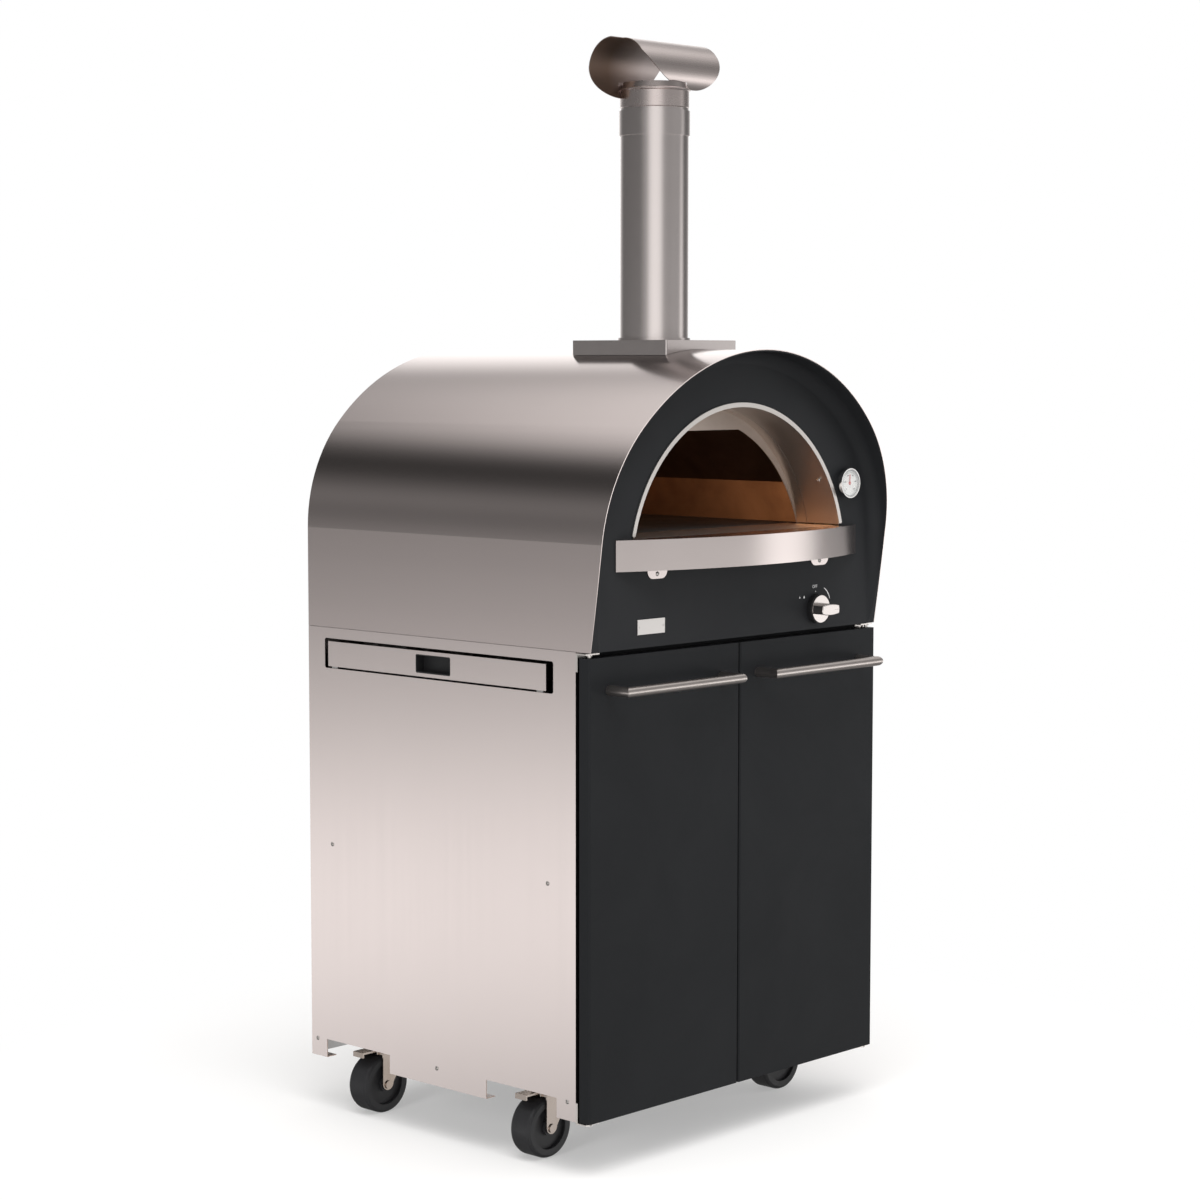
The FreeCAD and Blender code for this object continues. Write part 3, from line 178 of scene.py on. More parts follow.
brushed_lines.links.new(lines.outputs["Fac"], groove.inputs["Height"])
brushed_lines.links.new(lines.outputs["Fac"], exit_.inputs["Lines"])
brushed_lines.links.new(bands.outputs["Fac"], exit_.inputs["Bands"])
brushed_lines.links.new(groove.outputs["Normal"], exit_.inputs["Normal"])
print("group", brushed_lines.name)

# %% [markdown]
# Metal that hands have touched and rain has dried on is never evenly shiny. A broad cloud with
# a few finer blotches in it makes the roughness drift a little from place to place.

# %% Handling marks, shared by metals, paint and plastic
handling_marks, entry, exit_ = start_group(
    "handling_marks",
    [("Place", "NodeSocketVector", None), ("Size", "NodeSocketFloat", 4.0)],
    [("Marks", "NodeSocketFloat")])
clouds = add(handling_marks, "ShaderNodeTexNoise", Detail=6.0, Roughness=0.62, Distortion=0.6)
handling_marks.links.new(entry.outputs["Place"], clouds.inputs["Vector"])
handling_marks.links.new(entry.outputs["Size"], clouds.inputs["Scale"])
sharper = add(handling_marks, "ShaderNodeMapRange")
sharper.inputs["From Min"].default_value = 0.35
sharper.inputs["From Max"].default_value = 0.65
handling_marks.links.new(clouds.outputs["Fac"], sharper.inputs["Value"])
handling_marks.links.new(sharper.outputs["Result"], exit_.inputs["Marks"])
print("group", handling_marks.name)

# %% [markdown]
# Powder coat and moulded plastic have a fine pebbled skin. A small round noise gives its height
# and its tiny changes of tone.

# %% Pebbled skin, shared by paint, plastic and rubber
pebbled_skin, entry, exit_ = start_group(
    "pebbled_skin",
    [("Place", "NodeSocketVector", None), ("Grain", "NodeSocketFloat", 1400.0),
     ("Depth", "NodeSocketFloat", 0.12)],
    [("Grains", "NodeSocketFloat"), ("Normal", "NodeSocketVector")])
grains = add(pebbled_skin, "ShaderNodeTexNoise", Detail=2.0, Roughness=0.5)
pebbled_skin.links.new(entry.outputs["Place"], grains.inputs["Vector"])
pebbled_skin.links.new(entry.outputs["Grain"], grains.inputs["Scale"])
pebbles = add(pebbled_skin, "ShaderNodeBump", Distance=0.0003)
pebbled_skin.links.new(entry.outputs["Depth"], pebbles.inputs["Strength"])
pebbled_skin.links.new(grains.outputs["Fac"], pebbles.inputs["Height"])
pebbled_skin.links.new(grains.outputs["Fac"], exit_.inputs["Grains"])
pebbled_skin.links.new(pebbles.outputs["Normal"], exit_.inputs["Normal"])
print("group", pebbled_skin.name)

# %% [markdown]
# All the steel pieces share one recipe and differ in tone, in how the belt ran and in how dull
# they are. The tone drifts with the handling marks, and the roughness with the belt's bands.


# %% The steel recipe
def make_steel(name, light, dark, squeeze_by, dull=(0.22, 0.26), depth=0.02, mark_size=3.0, shine=1.0):
    """Steel between two tones; dull is its range of roughness, and depth that of its lines."""
    material, tree, shader, place = start_material(name, Metallic=shine)
    belt = use_group(tree, brushed_lines, place, Squeeze=squeeze_by, Depth=depth)
    marks = use_group(tree, handling_marks, place, Size=mark_size)
    tone = blend_colours(tree, marks.outputs["Marks"], light, dark)
    tinted = add(tree, "ShaderNodeMix", {"data_type": "RGBA", "blend_type": "MULTIPLY"})
    tinted.inputs[0].default_value = 1.0
    tree.links.new(tone, tinted.inputs[6])
    line_tone = blend_colours(tree, belt.outputs["Lines"], (0.985, 0.985, 0.985), (1.01, 1.01, 1.01))
    tree.links.new(line_tone, tinted.inputs[7])
    tree.links.new(tinted.outputs[2], shader.inputs["Base Color"])
    drift = stretch(tree, marks.outputs["Marks"], 0.9, 1.1)
    dullness = combine(tree, "MULTIPLY", belt.outputs["Bands"], drift)
    tree.links.new(stretch(tree, dullness, *dull), shader.inputs["Roughness"])
    tree.links.new(belt.outputs["Normal"], shader.inputs["Normal"])
    return material


# %% [markdown]
# The belt runs along the barrel, up the side panels and across the mantel and the flue, so each
# steel says how its noise is squeezed. Heat has dulled the oven's arch and lining: part of the
# light on them is scattered, which a Metallic below 1 gives.

# %% The steels
along_y = (900.0, 5.0, 900.0)
along_x = (5.0, 900.0, 900.0)
along_z = (900.0, 900.0, 5.0)
steel_recipes = {
    "barrel_steel": dict(light=(0.77, 0.685, 0.665), dark=(0.76, 0.675, 0.655), squeeze_by=along_y,
                         dull=(0.17, 0.19)),
    "panel_steel": dict(light=(0.83, 0.745, 0.725), dark=(0.82, 0.735, 0.715), squeeze_by=along_z,
                        dull=(0.19, 0.21)),
    "mantel_steel": dict(light=(0.83, 0.75, 0.73), dark=(0.81, 0.73, 0.71), squeeze_by=along_x,
                         dull=(0.20, 0.24)),
    "flue_steel": dict(light=(0.76, 0.70, 0.685), dark=(0.74, 0.68, 0.665), squeeze_by=along_x,
                       dull=(0.20, 0.23)),
    "bar_steel": dict(light=(0.74, 0.68, 0.65), dark=(0.66, 0.60, 0.57), squeeze_by=along_x,
                      dull=(0.28, 0.34), depth=0.1),
    "lining_steel": dict(light=(0.80, 0.73, 0.67), dark=(0.76, 0.68, 0.62), squeeze_by=along_y,
                         dull=(0.30, 0.36), shine=0.95),
    "trim_steel": dict(light=(0.80, 0.76, 0.73), dark=(0.76, 0.72, 0.69), squeeze_by=along_x,
                       dull=(0.30, 0.36)),
    "bracket_steel": dict(light=(0.78, 0.74, 0.71), dark=(0.74, 0.70, 0.67), squeeze_by=along_x),
    "plate_steel": dict(light=(0.82, 0.79, 0.77), dark=(0.78, 0.75, 0.73), squeeze_by=along_x,
                        dull=(0.34, 0.40)),
    "galvanised_steel": dict(light=(0.60, 0.59, 0.58), dark=(0.54, 0.535, 0.53), squeeze_by=along_x,
                             dull=(0.36, 0.46), mark_size=12.0),
    "zinc_steel": dict(light=(0.52, 0.46, 0.42), dark=(0.42, 0.35, 0.30), squeeze_by=along_x,
                       dull=(0.22, 0.30)),
    "screw_steel": dict(light=(0.72, 0.69, 0.67), dark=(0.64, 0.61, 0.58), squeeze_by=along_x,
                        dull=(0.2, 0.28)),
    "knob_chrome": dict(light=(0.80, 0.75, 0.73), dark=(0.74, 0.69, 0.67), squeeze_by=along_x,
                        dull=(0.14, 0.18)),
    "dial_bezel": dict(light=(0.88, 0.87, 0.86), dark=(0.82, 0.81, 0.80), squeeze_by=along_x,
                       dull=(0.1, 0.16)),
    "chamber_steel": dict(light=(0.30, 0.215, 0.17), dark=(0.20, 0.14, 0.11), squeeze_by=along_y,
                          dull=(0.38, 0.5), mark_size=8.0),
    "burner_steel": dict(light=(0.40, 0.33, 0.28), dark=(0.28, 0.22, 0.18), squeeze_by=along_y,
                         dull=(0.35, 0.5)),
    "arch_steel": dict(light=(0.62, 0.53, 0.47), dark=(0.54, 0.45, 0.39), squeeze_by=along_y,
                       dull=(0.40, 0.5), mark_size=8.0, shine=0.45),
    "valve_brass": dict(light=(0.78, 0.60, 0.30), dark=(0.66, 0.49, 0.23), squeeze_by=along_y,
                        dull=(0.25, 0.4)),
}
steels = {name: make_steel(name, **recipe) for name, recipe in steel_recipes.items()}
print(len(steels), "steels")

# %% [markdown]
# The inside of the cowl is painted with shade: a dark brown that is strongest at its open left
# end. The cowl is one solid with an outside and an inside, so this painted shade is placed by
# distances: it goes where a point is nearer to the tube's axis than the sheet's middle, leaves
# out the neck on the pipe, and fades along the tube.

# %% Where the cowl's painted shade goes
cowl_low, cowl_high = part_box("flue_cowl")
cowl_tube_radius = 0.050
cowl_sheet = 0.0015
cowl_axis_y = (cowl_low[1] + cowl_high[1]) / 2
cowl_axis_z = cowl_high[2] - cowl_tube_radius
neck_radius = 0.058
neck_top = cowl_axis_z - 0.017
neck_soft_side = 0.001
neck_soft_top = 0.003
shade_starts_at_x = 0.025
shade_full_at_x = -0.060
# Painted shade: the colour that darkens the inside of the tube.
painted_shade_colour = (0.34, 0.25, 0.20, 1.0)
inside_dullness = 0.22
cowl_steel = make_steel("cowl_steel", (0.74, 0.66, 0.64), (0.70, 0.62, 0.60), along_x, (0.24, 0.30))
tree = cowl_steel.node_tree
spot = add(tree, "ShaderNodeTexCoord").outputs["Object"]


def distance_to_line(tree, spot, across, through):
    """How far a point is from a line through a place; across is 0 along the line and 1 beside it."""
    offset = add(tree, "ShaderNodeVectorMath", {"operation": "MULTIPLY_ADD"})
    offset.inputs[1].default_value = across
    offset.inputs[2].default_value = [-place for place in through]
    tree.links.new(spot, offset.inputs[0])
    length = add(tree, "ShaderNodeVectorMath", {"operation": "LENGTH"})
    tree.links.new(offset.outputs[0], length.inputs[0])
    return length.outputs["Value"]


def fade(tree, source, start, end):
    """A mask that is 0 where the source is at start, and 1 where it is at end."""
    mask = add(tree, "ShaderNodeMapRange")
    mask.inputs["From Min"].default_value = start
    mask.inputs["From Max"].default_value = end
    tree.links.new(source, mask.inputs["Value"])
    return mask.outputs["Result"]


from_tube_axis = distance_to_line(tree, spot, (0, 1, 1), (0, cowl_axis_y, cowl_axis_z))
from_pipe_axis = distance_to_line(tree, spot, (1, 1, 0), (0, cowl_axis_y, 0))
print("cowl axis at height", round(cowl_axis_z, 4))

# %% [markdown]
# The masks multiply, so that the painted shade is only where all of them are 1. Its brown goes
# over the steel's colour, and the shaded inside is made rougher, through the sockets that the
# recipe already feeds.

# %% The cowl's painted shade
shader = tree.nodes["Principled BSDF"]
along = add(tree, "ShaderNodeSeparateXYZ")
tree.links.new(spot, along.inputs[0])
inside = fade(tree, from_tube_axis, cowl_tube_radius - cowl_sheet * 0.4, cowl_tube_radius - cowl_sheet * 0.6)
beside_neck = fade(tree, from_pipe_axis, neck_radius, neck_radius + neck_soft_side)
above_neck = fade(tree, along.outputs["Z"], neck_top, neck_top + neck_soft_top)
off_neck = combine(tree, "MAXIMUM", beside_neck, above_neck)
shaded_inside = combine(tree, "MULTIPLY", inside, off_neck)
shade_along_tube = fade(tree, along.outputs["X"], shade_starts_at_x, shade_full_at_x)
# Painted shade: brown goes over the steel where the tube's inside lies in shade.
painted_shade_mix = add(tree, "ShaderNodeMix", {"data_type": "RGBA"})
tree.links.new(combine(tree, "MULTIPLY", shaded_inside, shade_along_tube), painted_shade_mix.inputs[0])
tree.links.new(shader.inputs["Base Color"].links[0].from_socket, painted_shade_mix.inputs[6])
painted_shade_mix.inputs[7].default_value = painted_shade_colour
tree.links.new(painted_shade_mix.outputs[2], shader.inputs["Base Color"])
dulled = add(tree, "ShaderNodeMath", {"operation": "MULTIPLY_ADD", "use_clamp": True})
tree.links.new(shaded_inside, dulled.inputs[0])
dulled.inputs[1].default_value = inside_dullness
tree.links.new(shader.inputs["Roughness"].links[0].from_socket, dulled.inputs[2])
tree.links.new(dulled.outputs[0], shader.inputs["Roughness"])
print("painted shade fades in from x", shade_starts_at_x, "to", shade_full_at_x)

# %% [markdown]
# The doors and the oven's front have a satin anthracite powder coat: nearly black, a little
# blue, with a pebbled skin and a soft sheen. The coat is the same recipe as the plastics, the
# rubber, the prints and the stone, which only differ in tone, in grain and in how they shine.


# %% The recipe for coats, plastics and rubber
def make_coated(name, light, dark, grain, depth, dull, mark_size=5.0, sheen_level=0.5):
    """A surface that isn't metal, between two tones, with a pebbled skin of a grain and depth."""
    material, tree, shader, place = start_material(name, Specular_IOR_Level=sheen_level)
    skin = use_group(tree, pebbled_skin, place, Grain=grain, Depth=depth)
    marks = use_group(tree, handling_marks, place, Size=mark_size)
    drift = stretch(tree, marks.outputs["Marks"], 0.7, 1.3)
    tone = combine(tree, "MULTIPLY", skin.outputs["Grains"], drift)
    tree.links.new(blend_colours(tree, tone, light, dark), shader.inputs["Base Color"])
    tree.links.new(stretch(tree, marks.outputs["Marks"], *dull), shader.inputs["Roughness"])
    tree.links.new(skin.outputs["Normal"], shader.inputs["Normal"])
    return material


# %% [markdown]
# The hood's coat is the doors' coat made a shade lighter, which is painted light. With the doors'
# own coat the hood came out darker than the photograph shows it.

# %% The coats, plastics and stones
coat_recipes = {
    "anthracite_paint": dict(light=(0.0135, 0.0145, 0.0165), dark=(0.0115, 0.0125, 0.0140),
                             grain=1500.0, depth=0.06, dull=(0.55, 0.60), sheen_level=0.22),
    # The hood's coat is the doors' anthracite made lighter: painted light.
    "hood_coat_painted_lighter": dict(light=(0.0215, 0.0220, 0.0240), dark=(0.0173, 0.0188, 0.0210), grain=1500.0,
                       depth=0.06, dull=(0.55, 0.60), sheen_level=0.22),
    "black_plastic": dict(light=(0.016, 0.016, 0.017), dark=(0.010, 0.010, 0.011), grain=2200.0,
                          depth=0.15, dull=(0.45, 0.55)),
    "bush_plastic": dict(light=(0.03, 0.03, 0.03), dark=(0.02, 0.02, 0.02), grain=2200.0, depth=0.1,
                         dull=(0.4, 0.5)),
    "rubber_black": dict(light=(0.022, 0.022, 0.023), dark=(0.014, 0.014, 0.015), grain=1200.0,
                         depth=0.25, dull=(0.6, 0.75)),
    "wheel_rubber": dict(light=(0.026, 0.026, 0.028), dark=(0.016, 0.016, 0.018), grain=900.0,
                         depth=0.2, dull=(0.45, 0.6)),
    "dial_white": dict(light=(0.86, 0.85, 0.83), dark=(0.80, 0.79, 0.77), grain=2500.0, depth=0.02,
                       dull=(0.35, 0.45), mark_size=30.0),
    "pointer_red": dict(light=(0.62, 0.03, 0.02), dark=(0.5, 0.02, 0.015), grain=2500.0, depth=0.02,
                        dull=(0.35, 0.45), mark_size=30.0),
    "print_white": dict(light=(0.80, 0.80, 0.80), dark=(0.72, 0.72, 0.72), grain=2500.0, depth=0.02,
                        dull=(0.45, 0.55), mark_size=30.0),
    "print_grey": dict(light=(0.36, 0.37, 0.38), dark=(0.30, 0.31, 0.32), grain=2500.0, depth=0.02,
                       dull=(0.45, 0.55), mark_size=30.0),
    "print_black": dict(light=(0.03, 0.03, 0.032), dark=(0.02, 0.02, 0.022), grain=2500.0, depth=0.02,
                        dull=(0.45, 0.55), mark_size=30.0),
    "ceramic_wool": dict(light=(0.86, 0.85, 0.81), dark=(0.74, 0.72, 0.66), grain=160.0, depth=0.6,
                         dull=(0.9, 0.98)),
    "board_ceramic": dict(light=(0.78, 0.75, 0.68), dark=(0.68, 0.64, 0.57), grain=300.0, depth=0.3,
                          dull=(0.8, 0.9)),
    "hearth_stone": dict(light=(0.085, 0.088, 0.092), dark=(0.055, 0.056, 0.06), grain=420.0,
                         depth=0.35, dull=(0.45, 0.6), mark_size=9.0),
}
coats = {name: make_coated(name, **recipe) for name, recipe in coat_recipes.items()}
print(len(coats), "coats, plastics and stones")

# %% [markdown]
# The dial's glass is a clear flat disc. So thin a sheet hardly bends light, so a low alpha lets
# the dial show through it, and a thin film of dust and the reflection remain.

# %% The dial's glass
glass, tree, shader, place = start_material("dial_glass", Roughness=0.03, IOR=1.46, Metallic=0.0,
                                            Alpha=0.12)
film = use_group(tree, handling_marks, place, Size=60.0)
tree.links.new(blend_colours(tree, film.outputs["Marks"], (0.95, 0.96, 0.96), (0.85, 0.87, 0.87)),
               shader.inputs["Base Color"])
tree.links.new(stretch(tree, film.outputs["Marks"], 0.02, 0.06), shader.inputs["Roughness"])
finishes = {**steels, **coats, "dial_glass": glass}
print("glass lets through", round(1 - shader.inputs["Alpha"].default_value, 2))

# %% [markdown]
# Each node of the frame names its material slot in the record, so one loop dresses them all.
# Three nodes have a finish that no other node with their slot has.

# %% Dress the frame's nodes
slot_of = {part["node"]: part["material_slot"] for part in frame["record"]["subparts"]}
# The front panel takes the lighter hood coat, which is painted light.
own_finish = {"flue_cowl": cowl_steel, "chamber_front": steels["arch_steel"],
              "front_panel": coats["hood_coat_painted_lighter"]}
for name, thing in nodes.items():
    thing.data.materials.clear()
    thing.data.materials.append(own_finish.get(name, finishes[slot_of[name]]))
print("dressed", len(nodes), "nodes")

# %% [markdown]
# The frame's own pieces have the right shapes. What they lack is the small stuff that tells the
# eye how big the oven is: socket screws, printed marks, the dial's scale. Each is a bmesh that
# starts from a profile or a primitive, and one helper turns it into a finished piece: doubles
# merged, faces pointing out, smooth where it is round, riding on its body.


# %% Helpers for new pieces
def turned(profile, segments):
    """A bmesh spun round the Z axis from (radius, height) points in millimetres."""
    shape = bmesh.new()
    line = [shape.verts.new((radius / 1000, 0, height / 1000)) for radius, height in profile]
    for first, second in zip(line, line[1:]):
        shape.edges.new((first, second))
    bmesh.ops.spin(shape, geom=shape.verts[:] + shape.edges[:], cent=(0, 0, 0), axis=(0, 0, 1),
                   angle=math.radians(360), steps=segments, use_merge=True)
    bmesh.ops.remove_doubles(shape, verts=shape.verts, dist=1e-6)
    bmesh.ops.recalc_face_normals(shape, faces=shape.faces)
    return shape


def add_copy(into, shape, matrix):
    """Puts a copy of one bmesh, moved by a matrix, into another."""
    stamp = bpy.data.meshes.new("stamp")
    shape.to_mesh(stamp)
    before = len(into.verts)
    into.from_mesh(stamp)
    into.verts.ensure_lookup_table()
    bmesh.ops.transform(into, matrix=matrix, verts=into.verts[before:])
    bpy.data.meshes.remove(stamp)


def finish_piece(name, shape, finish, body, sharp=35):
    """The bmesh as a piece with a finish, smooth below the sharp angle, riding on a body."""
    mesh = bpy.data.meshes.new(name)
    shape.to_mesh(mesh)
    shape.free()
    mesh.shade_smooth()
    mesh.set_sharp_from_angle(angle=math.radians(sharp))
    mesh.materials.append(finishes[finish])
    piece = bpy.data.objects.new(name, mesh)
    bpy.context.scene.collection.objects.link(piece)
    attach(piece, body)
    print(name, len(mesh.polygons), "faces")
    return piece


def facing_front(x, y, z):
    """A matrix that stands a bmesh's +Z towards the front, at a place in metres."""
    return Matrix.Translation((x, y, z)) @ Matrix.Rotation(math.radians(90), 4, "X")


panel_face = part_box("blank_plate")[1][1]
print("the front panel's face is at", round(panel_face, 4))

# %% [markdown]
# Fourteen button screws hold the side panels, the mantel's tabs and the mouth's lining. A real
# one has a domed head with a hexagonal socket. The dome is spun; the socket starts as round
# rings, and its points are then drawn out to a hexagon, which is simpler than cutting one.

# %% One button screw
dome = [(0.0, 0.55), (1.3, 0.55), (1.45, 1.5), (1.75, 1.62), (2.5, 1.45), (3.2, 0.95), (3.6, 0.25),
        (3.6, 0.0), (2.0, 0.0), (2.0, -5.0), (0.0, -5.0)]
socket_growth = 1.1
socket_ring = (0.001, 0.0015)
socket_floor = 0.0005
screw = turned(dome, 24)
for vert in screw.verts:
    reach_out = math.hypot(vert.co.x, vert.co.y)
    if socket_ring[0] < reach_out < socket_ring[1] and vert.co.z > socket_floor:
        from_flat = math.atan2(vert.co.y, vert.co.x) % math.radians(60) - math.radians(30)
        vert.co.xy *= math.cos(math.radians(30)) / math.cos(from_flat) * socket_growth
print("one screw has", len(screw.faces), "faces")

# %% [markdown]
# The frame's plain screws say where the heads go. A copy of their mesh is merged, and falls
# apart into one island for each screw. The island's box gives the seat: on a side panel the
# head faces outwards, under the mantel forwards, and in the lining towards the mouth's middle.


# %% The screws' places
def islands(shape):
    """The groups of joined vertices of a bmesh, in the order of their first ones."""
    left_over = set(shape.verts)
    groups = []
    for start in shape.verts:
        if start in left_over:
            left_over.remove(start)
            group = [start]
            for vert in group:
                for edge in vert.link_edges:
                    other = edge.other_vert(vert)
                    if other in left_over:
                        left_over.remove(other)
                        group.append(other)
            groups.append(group)
    return groups


side_panels_beyond = 0.34
lining_screws_above = 1.0
head_height = 0.0016
lining_tilt = math.radians(31.8)
lining_seat = 0.0031


def screw_stand(low, high):
    """The seat and the direction of a head, from the corners of the plain screw's box."""
    middle = (low + high) / 2
    side = math.copysign(1, middle.x)
    if abs(middle.x) > side_panels_beyond:
        outermost = max(abs(low.x), abs(high.x))
        return Vector((side * (outermost - head_height), middle.y, middle.z)), Vector((side, 0, 0))
    if middle.z < lining_screws_above:
        return Vector((middle.x, low.y + head_height, middle.z)), Vector((0, -1, 0))
    inwards = Vector((-side * math.cos(lining_tilt), 0, -math.sin(lining_tilt)))
    return middle + inwards * ((high - low).length / 2 - lining_seat), inwards


plain_screws = bmesh.new()
plain_screws.from_mesh(nodes["panel_screws"].data)
bmesh.ops.remove_doubles(plain_screws, verts=plain_screws.verts, dist=1e-6)
screw_boxes = [(Vector([min(vert.co[k] for vert in group) for k in range(3)]),
                Vector([max(vert.co[k] for vert in group) for k in range(3)]))
               for group in islands(plain_screws)]
plain_screws.free()
print(len(screw_boxes), "screws")

# %% Put the screws in their places
screws = bmesh.new()
for low, high in screw_boxes:
    seat, head_side = screw_stand(low, high)
    turn = head_side.to_track_quat("Z", "Y").to_matrix().to_4x4()
    add_copy(screws, screw, Matrix.Translation(seat) @ turn)
screw.free()
button_screws = finish_piece("button_screws", screws, "screw_steel", "oven_table", 40)
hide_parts("panel_screws")

# %% [markdown]
# Round the gas knob the panel is printed in white: a dot for the closed place, a crescent along
# the way that the knob turns, and two small flames. Print has almost no thickness, so each mark
# is a thin plate that starts as a flat shape and gets a tenth of a millimetre by extruding.

# %% The dot over the knob
knob_low, knob_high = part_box("gas_knob")
knob_x = (knob_low[0] + knob_high[0]) / 2
knob_z = (knob_low[2] + knob_high[2]) / 2
print_thickness = 0.0001
marks = bmesh.new()


def raise_faces(shape, thickness):
    """Gives every flat face of a bmesh a thickness."""
    grown = bmesh.ops.extrude_face_region(shape, geom=shape.faces[:])
    moved = [part for part in grown["geom"] if isinstance(part, bmesh.types.BMVert)]
    bmesh.ops.translate(shape, vec=(0, 0, thickness), verts=moved)
    bmesh.ops.recalc_face_normals(shape, faces=shape.faces)


dot_radius = 0.0009
dot_left_of_knob = 0.0008
dot_above_knob = 0.0283
dot = bmesh.new()
bmesh.ops.create_circle(dot, cap_ends=True, radius=dot_radius, segments=20)
raise_faces(dot, print_thickness)
add_copy(marks, dot, facing_front(knob_x - dot_left_of_knob, panel_face, knob_z + dot_above_knob))
dot.free()
print("the dot is", dot_radius * 2000, "mm wide")

# %% [markdown]
# The crescent shows which way the flame grows. It could be cut out of a ring, but a short line
# that is spun through a part of a turn gives an even band, and pushing the band's outer side out,
# most at its middle, makes the crescent.

# %% The crescent beside the knob
crescent_inner = 0.0386
crescent_outer = 0.0394
crescent_start = 22
crescent_turn = 36
crescent_growth = 0.028
crescent = bmesh.new()
ends = [crescent.verts.new((radius, 0, 0)) for radius in (crescent_inner, crescent_outer)]
crescent.edges.new(ends)
bmesh.ops.rotate(crescent, cent=(0, 0, 0), matrix=Matrix.Rotation(math.radians(crescent_start), 3, "Z"),
                 verts=crescent.verts[:])
bmesh.ops.spin(crescent, geom=crescent.verts[:] + crescent.edges[:], cent=(0, 0, 0), axis=(0, 0, 1),
               angle=math.radians(crescent_turn), steps=18)
for vert in crescent.verts:
    done = (math.degrees(math.atan2(vert.co.y, vert.co.x)) - crescent_start) / crescent_turn
    if vert.co.length > (crescent_inner + crescent_outer) / 2:
        vert.co *= 1 + crescent_growth * math.sin(math.pi * min(max(done, 0), 1))
raise_faces(crescent, print_thickness)
add_copy(marks, crescent, facing_front(knob_x, panel_face, knob_z))
crescent.free()
print("the crescent turns", crescent_turn, "degrees")

# %% [markdown]
# A small flame and a big one stand to the left of the knob. Each is a disc whose upper half is
# drawn up and pinched to a point, which keeps its outline round below.

# %% The two flames
flame_radius = 0.0017
flame_above_knob = 0.0200
flame_pinch = 0.9
flame_stretch = 1.9
flame = bmesh.new()
bmesh.ops.create_circle(flame, cap_ends=True, radius=flame_radius, segments=20)
for vert in flame.verts:
    if vert.co.y > 0:
        vert.co.x *= 1 - (vert.co.y / flame_radius) ** 2 * flame_pinch
        vert.co.y *= flame_stretch
raise_faces(flame, print_thickness)
for left_of_knob, size in ((0.0417, 0.75), (0.0307, 1.0)):
    place = facing_front(knob_x - left_of_knob, panel_face, knob_z + flame_above_knob)
    add_copy(marks, flame, place @ Matrix.Scale(size, 4))
flame.free()
finish_piece("knob_marks", marks, "print_white", "oven_table")

# %% [markdown]
# The place of a closed gas knob is often marked OFF. Blender's text object gives the letters; it
# is turned into a mesh first, and only then moved to its place.


# %% Printed words and numbers
def lettering(into, words, size, matrix):
    """Adds a line of thin raised letters, centred on the matrix's place."""
    curve = bpy.data.curves.new("words", "FONT")
    curve.body = words
    curve.size = size
    curve.align_x = "CENTER"
    curve.align_y = "CENTER"
    curve.extrude = print_thickness / 2
    curve.resolution_u = 3
    writer = bpy.data.objects.new("words", curve)
    bpy.context.scene.collection.objects.link(writer)
    bpy.context.view_layer.update()
    letters = bpy.data.meshes.new_from_object(writer)
    bpy.data.objects.remove(writer)
    shape = bmesh.new()
    shape.from_mesh(letters)
    bpy.data.meshes.remove(letters)
    bmesh.ops.remove_doubles(shape, verts=shape.verts, dist=1e-7)
    bmesh.ops.triangulate(shape, faces=shape.faces[:])
    bmesh.ops.recalc_face_normals(shape, faces=shape.faces)
    add_copy(into, shape, matrix)
    shape.free()


in_front = print_thickness / 2
word_height = 0.0075
word_left_of_knob = 0.003
word_above_knob = 0.0365
words = bmesh.new()
lettering(words, "OFF", word_height,
          facing_front(knob_x - word_left_of_knob, panel_face - in_front, knob_z + word_above_knob))
finish_piece("knob_word", words, "print_white", "oven_table")

# %% [markdown]
# The dial has a scale of fine ticks. One tick is a small cube drawn out to a bar with its edges
# taken off, and turned copies of it make the scale. Every tenth tick is longer and wider.

# %% The dial's ticks
dial_low, dial_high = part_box("thermometer_dial")
dial_x = (dial_low[0] + dial_high[0]) / 2
dial_z = (dial_low[2] + dial_high[2]) / 2
dial_face = dial_low[1]
scale_turn = 270
tick_gaps = 50
number_gaps = 5
scale = bmesh.new()
tick = bmesh.new()
bmesh.ops.create_cube(tick, size=1.0)
tick_width = 0.00028
tick_length = 0.0015
bmesh.ops.scale(tick, vec=(tick_width, tick_length, print_thickness), verts=tick.verts[:])
bmesh.ops.bevel(tick, geom=tick.edges[:], offset=0.00003, segments=1, affect="EDGES", profile=0.5,
                material=-1)
long_tick = tick.copy()
bmesh.ops.scale(long_tick, vec=(1.7, 1.6, 1.0), verts=long_tick.verts[:])
for count in range(tick_gaps + 1):
    bar, middle_at = (long_tick, 0.0180) if count % 10 == 0 else (tick, 0.0184)
    turn = Matrix.Rotation(math.radians(scale_turn / 2 - count * scale_turn / tick_gaps), 4, "Z")
    place = facing_front(dial_x, dial_face, dial_z) @ turn @ Matrix.Translation((0, middle_at, 0))
    add_copy(scale, bar, place)
tick.free()
long_tick.free()
print(tick_gaps + 1, "ticks")

# %% [markdown]
# Six numbers follow the scale, from 0 to 500, and stay upright, so only their places go round.
# A grey ring closes the print inside the rim, spun from its cross-section.

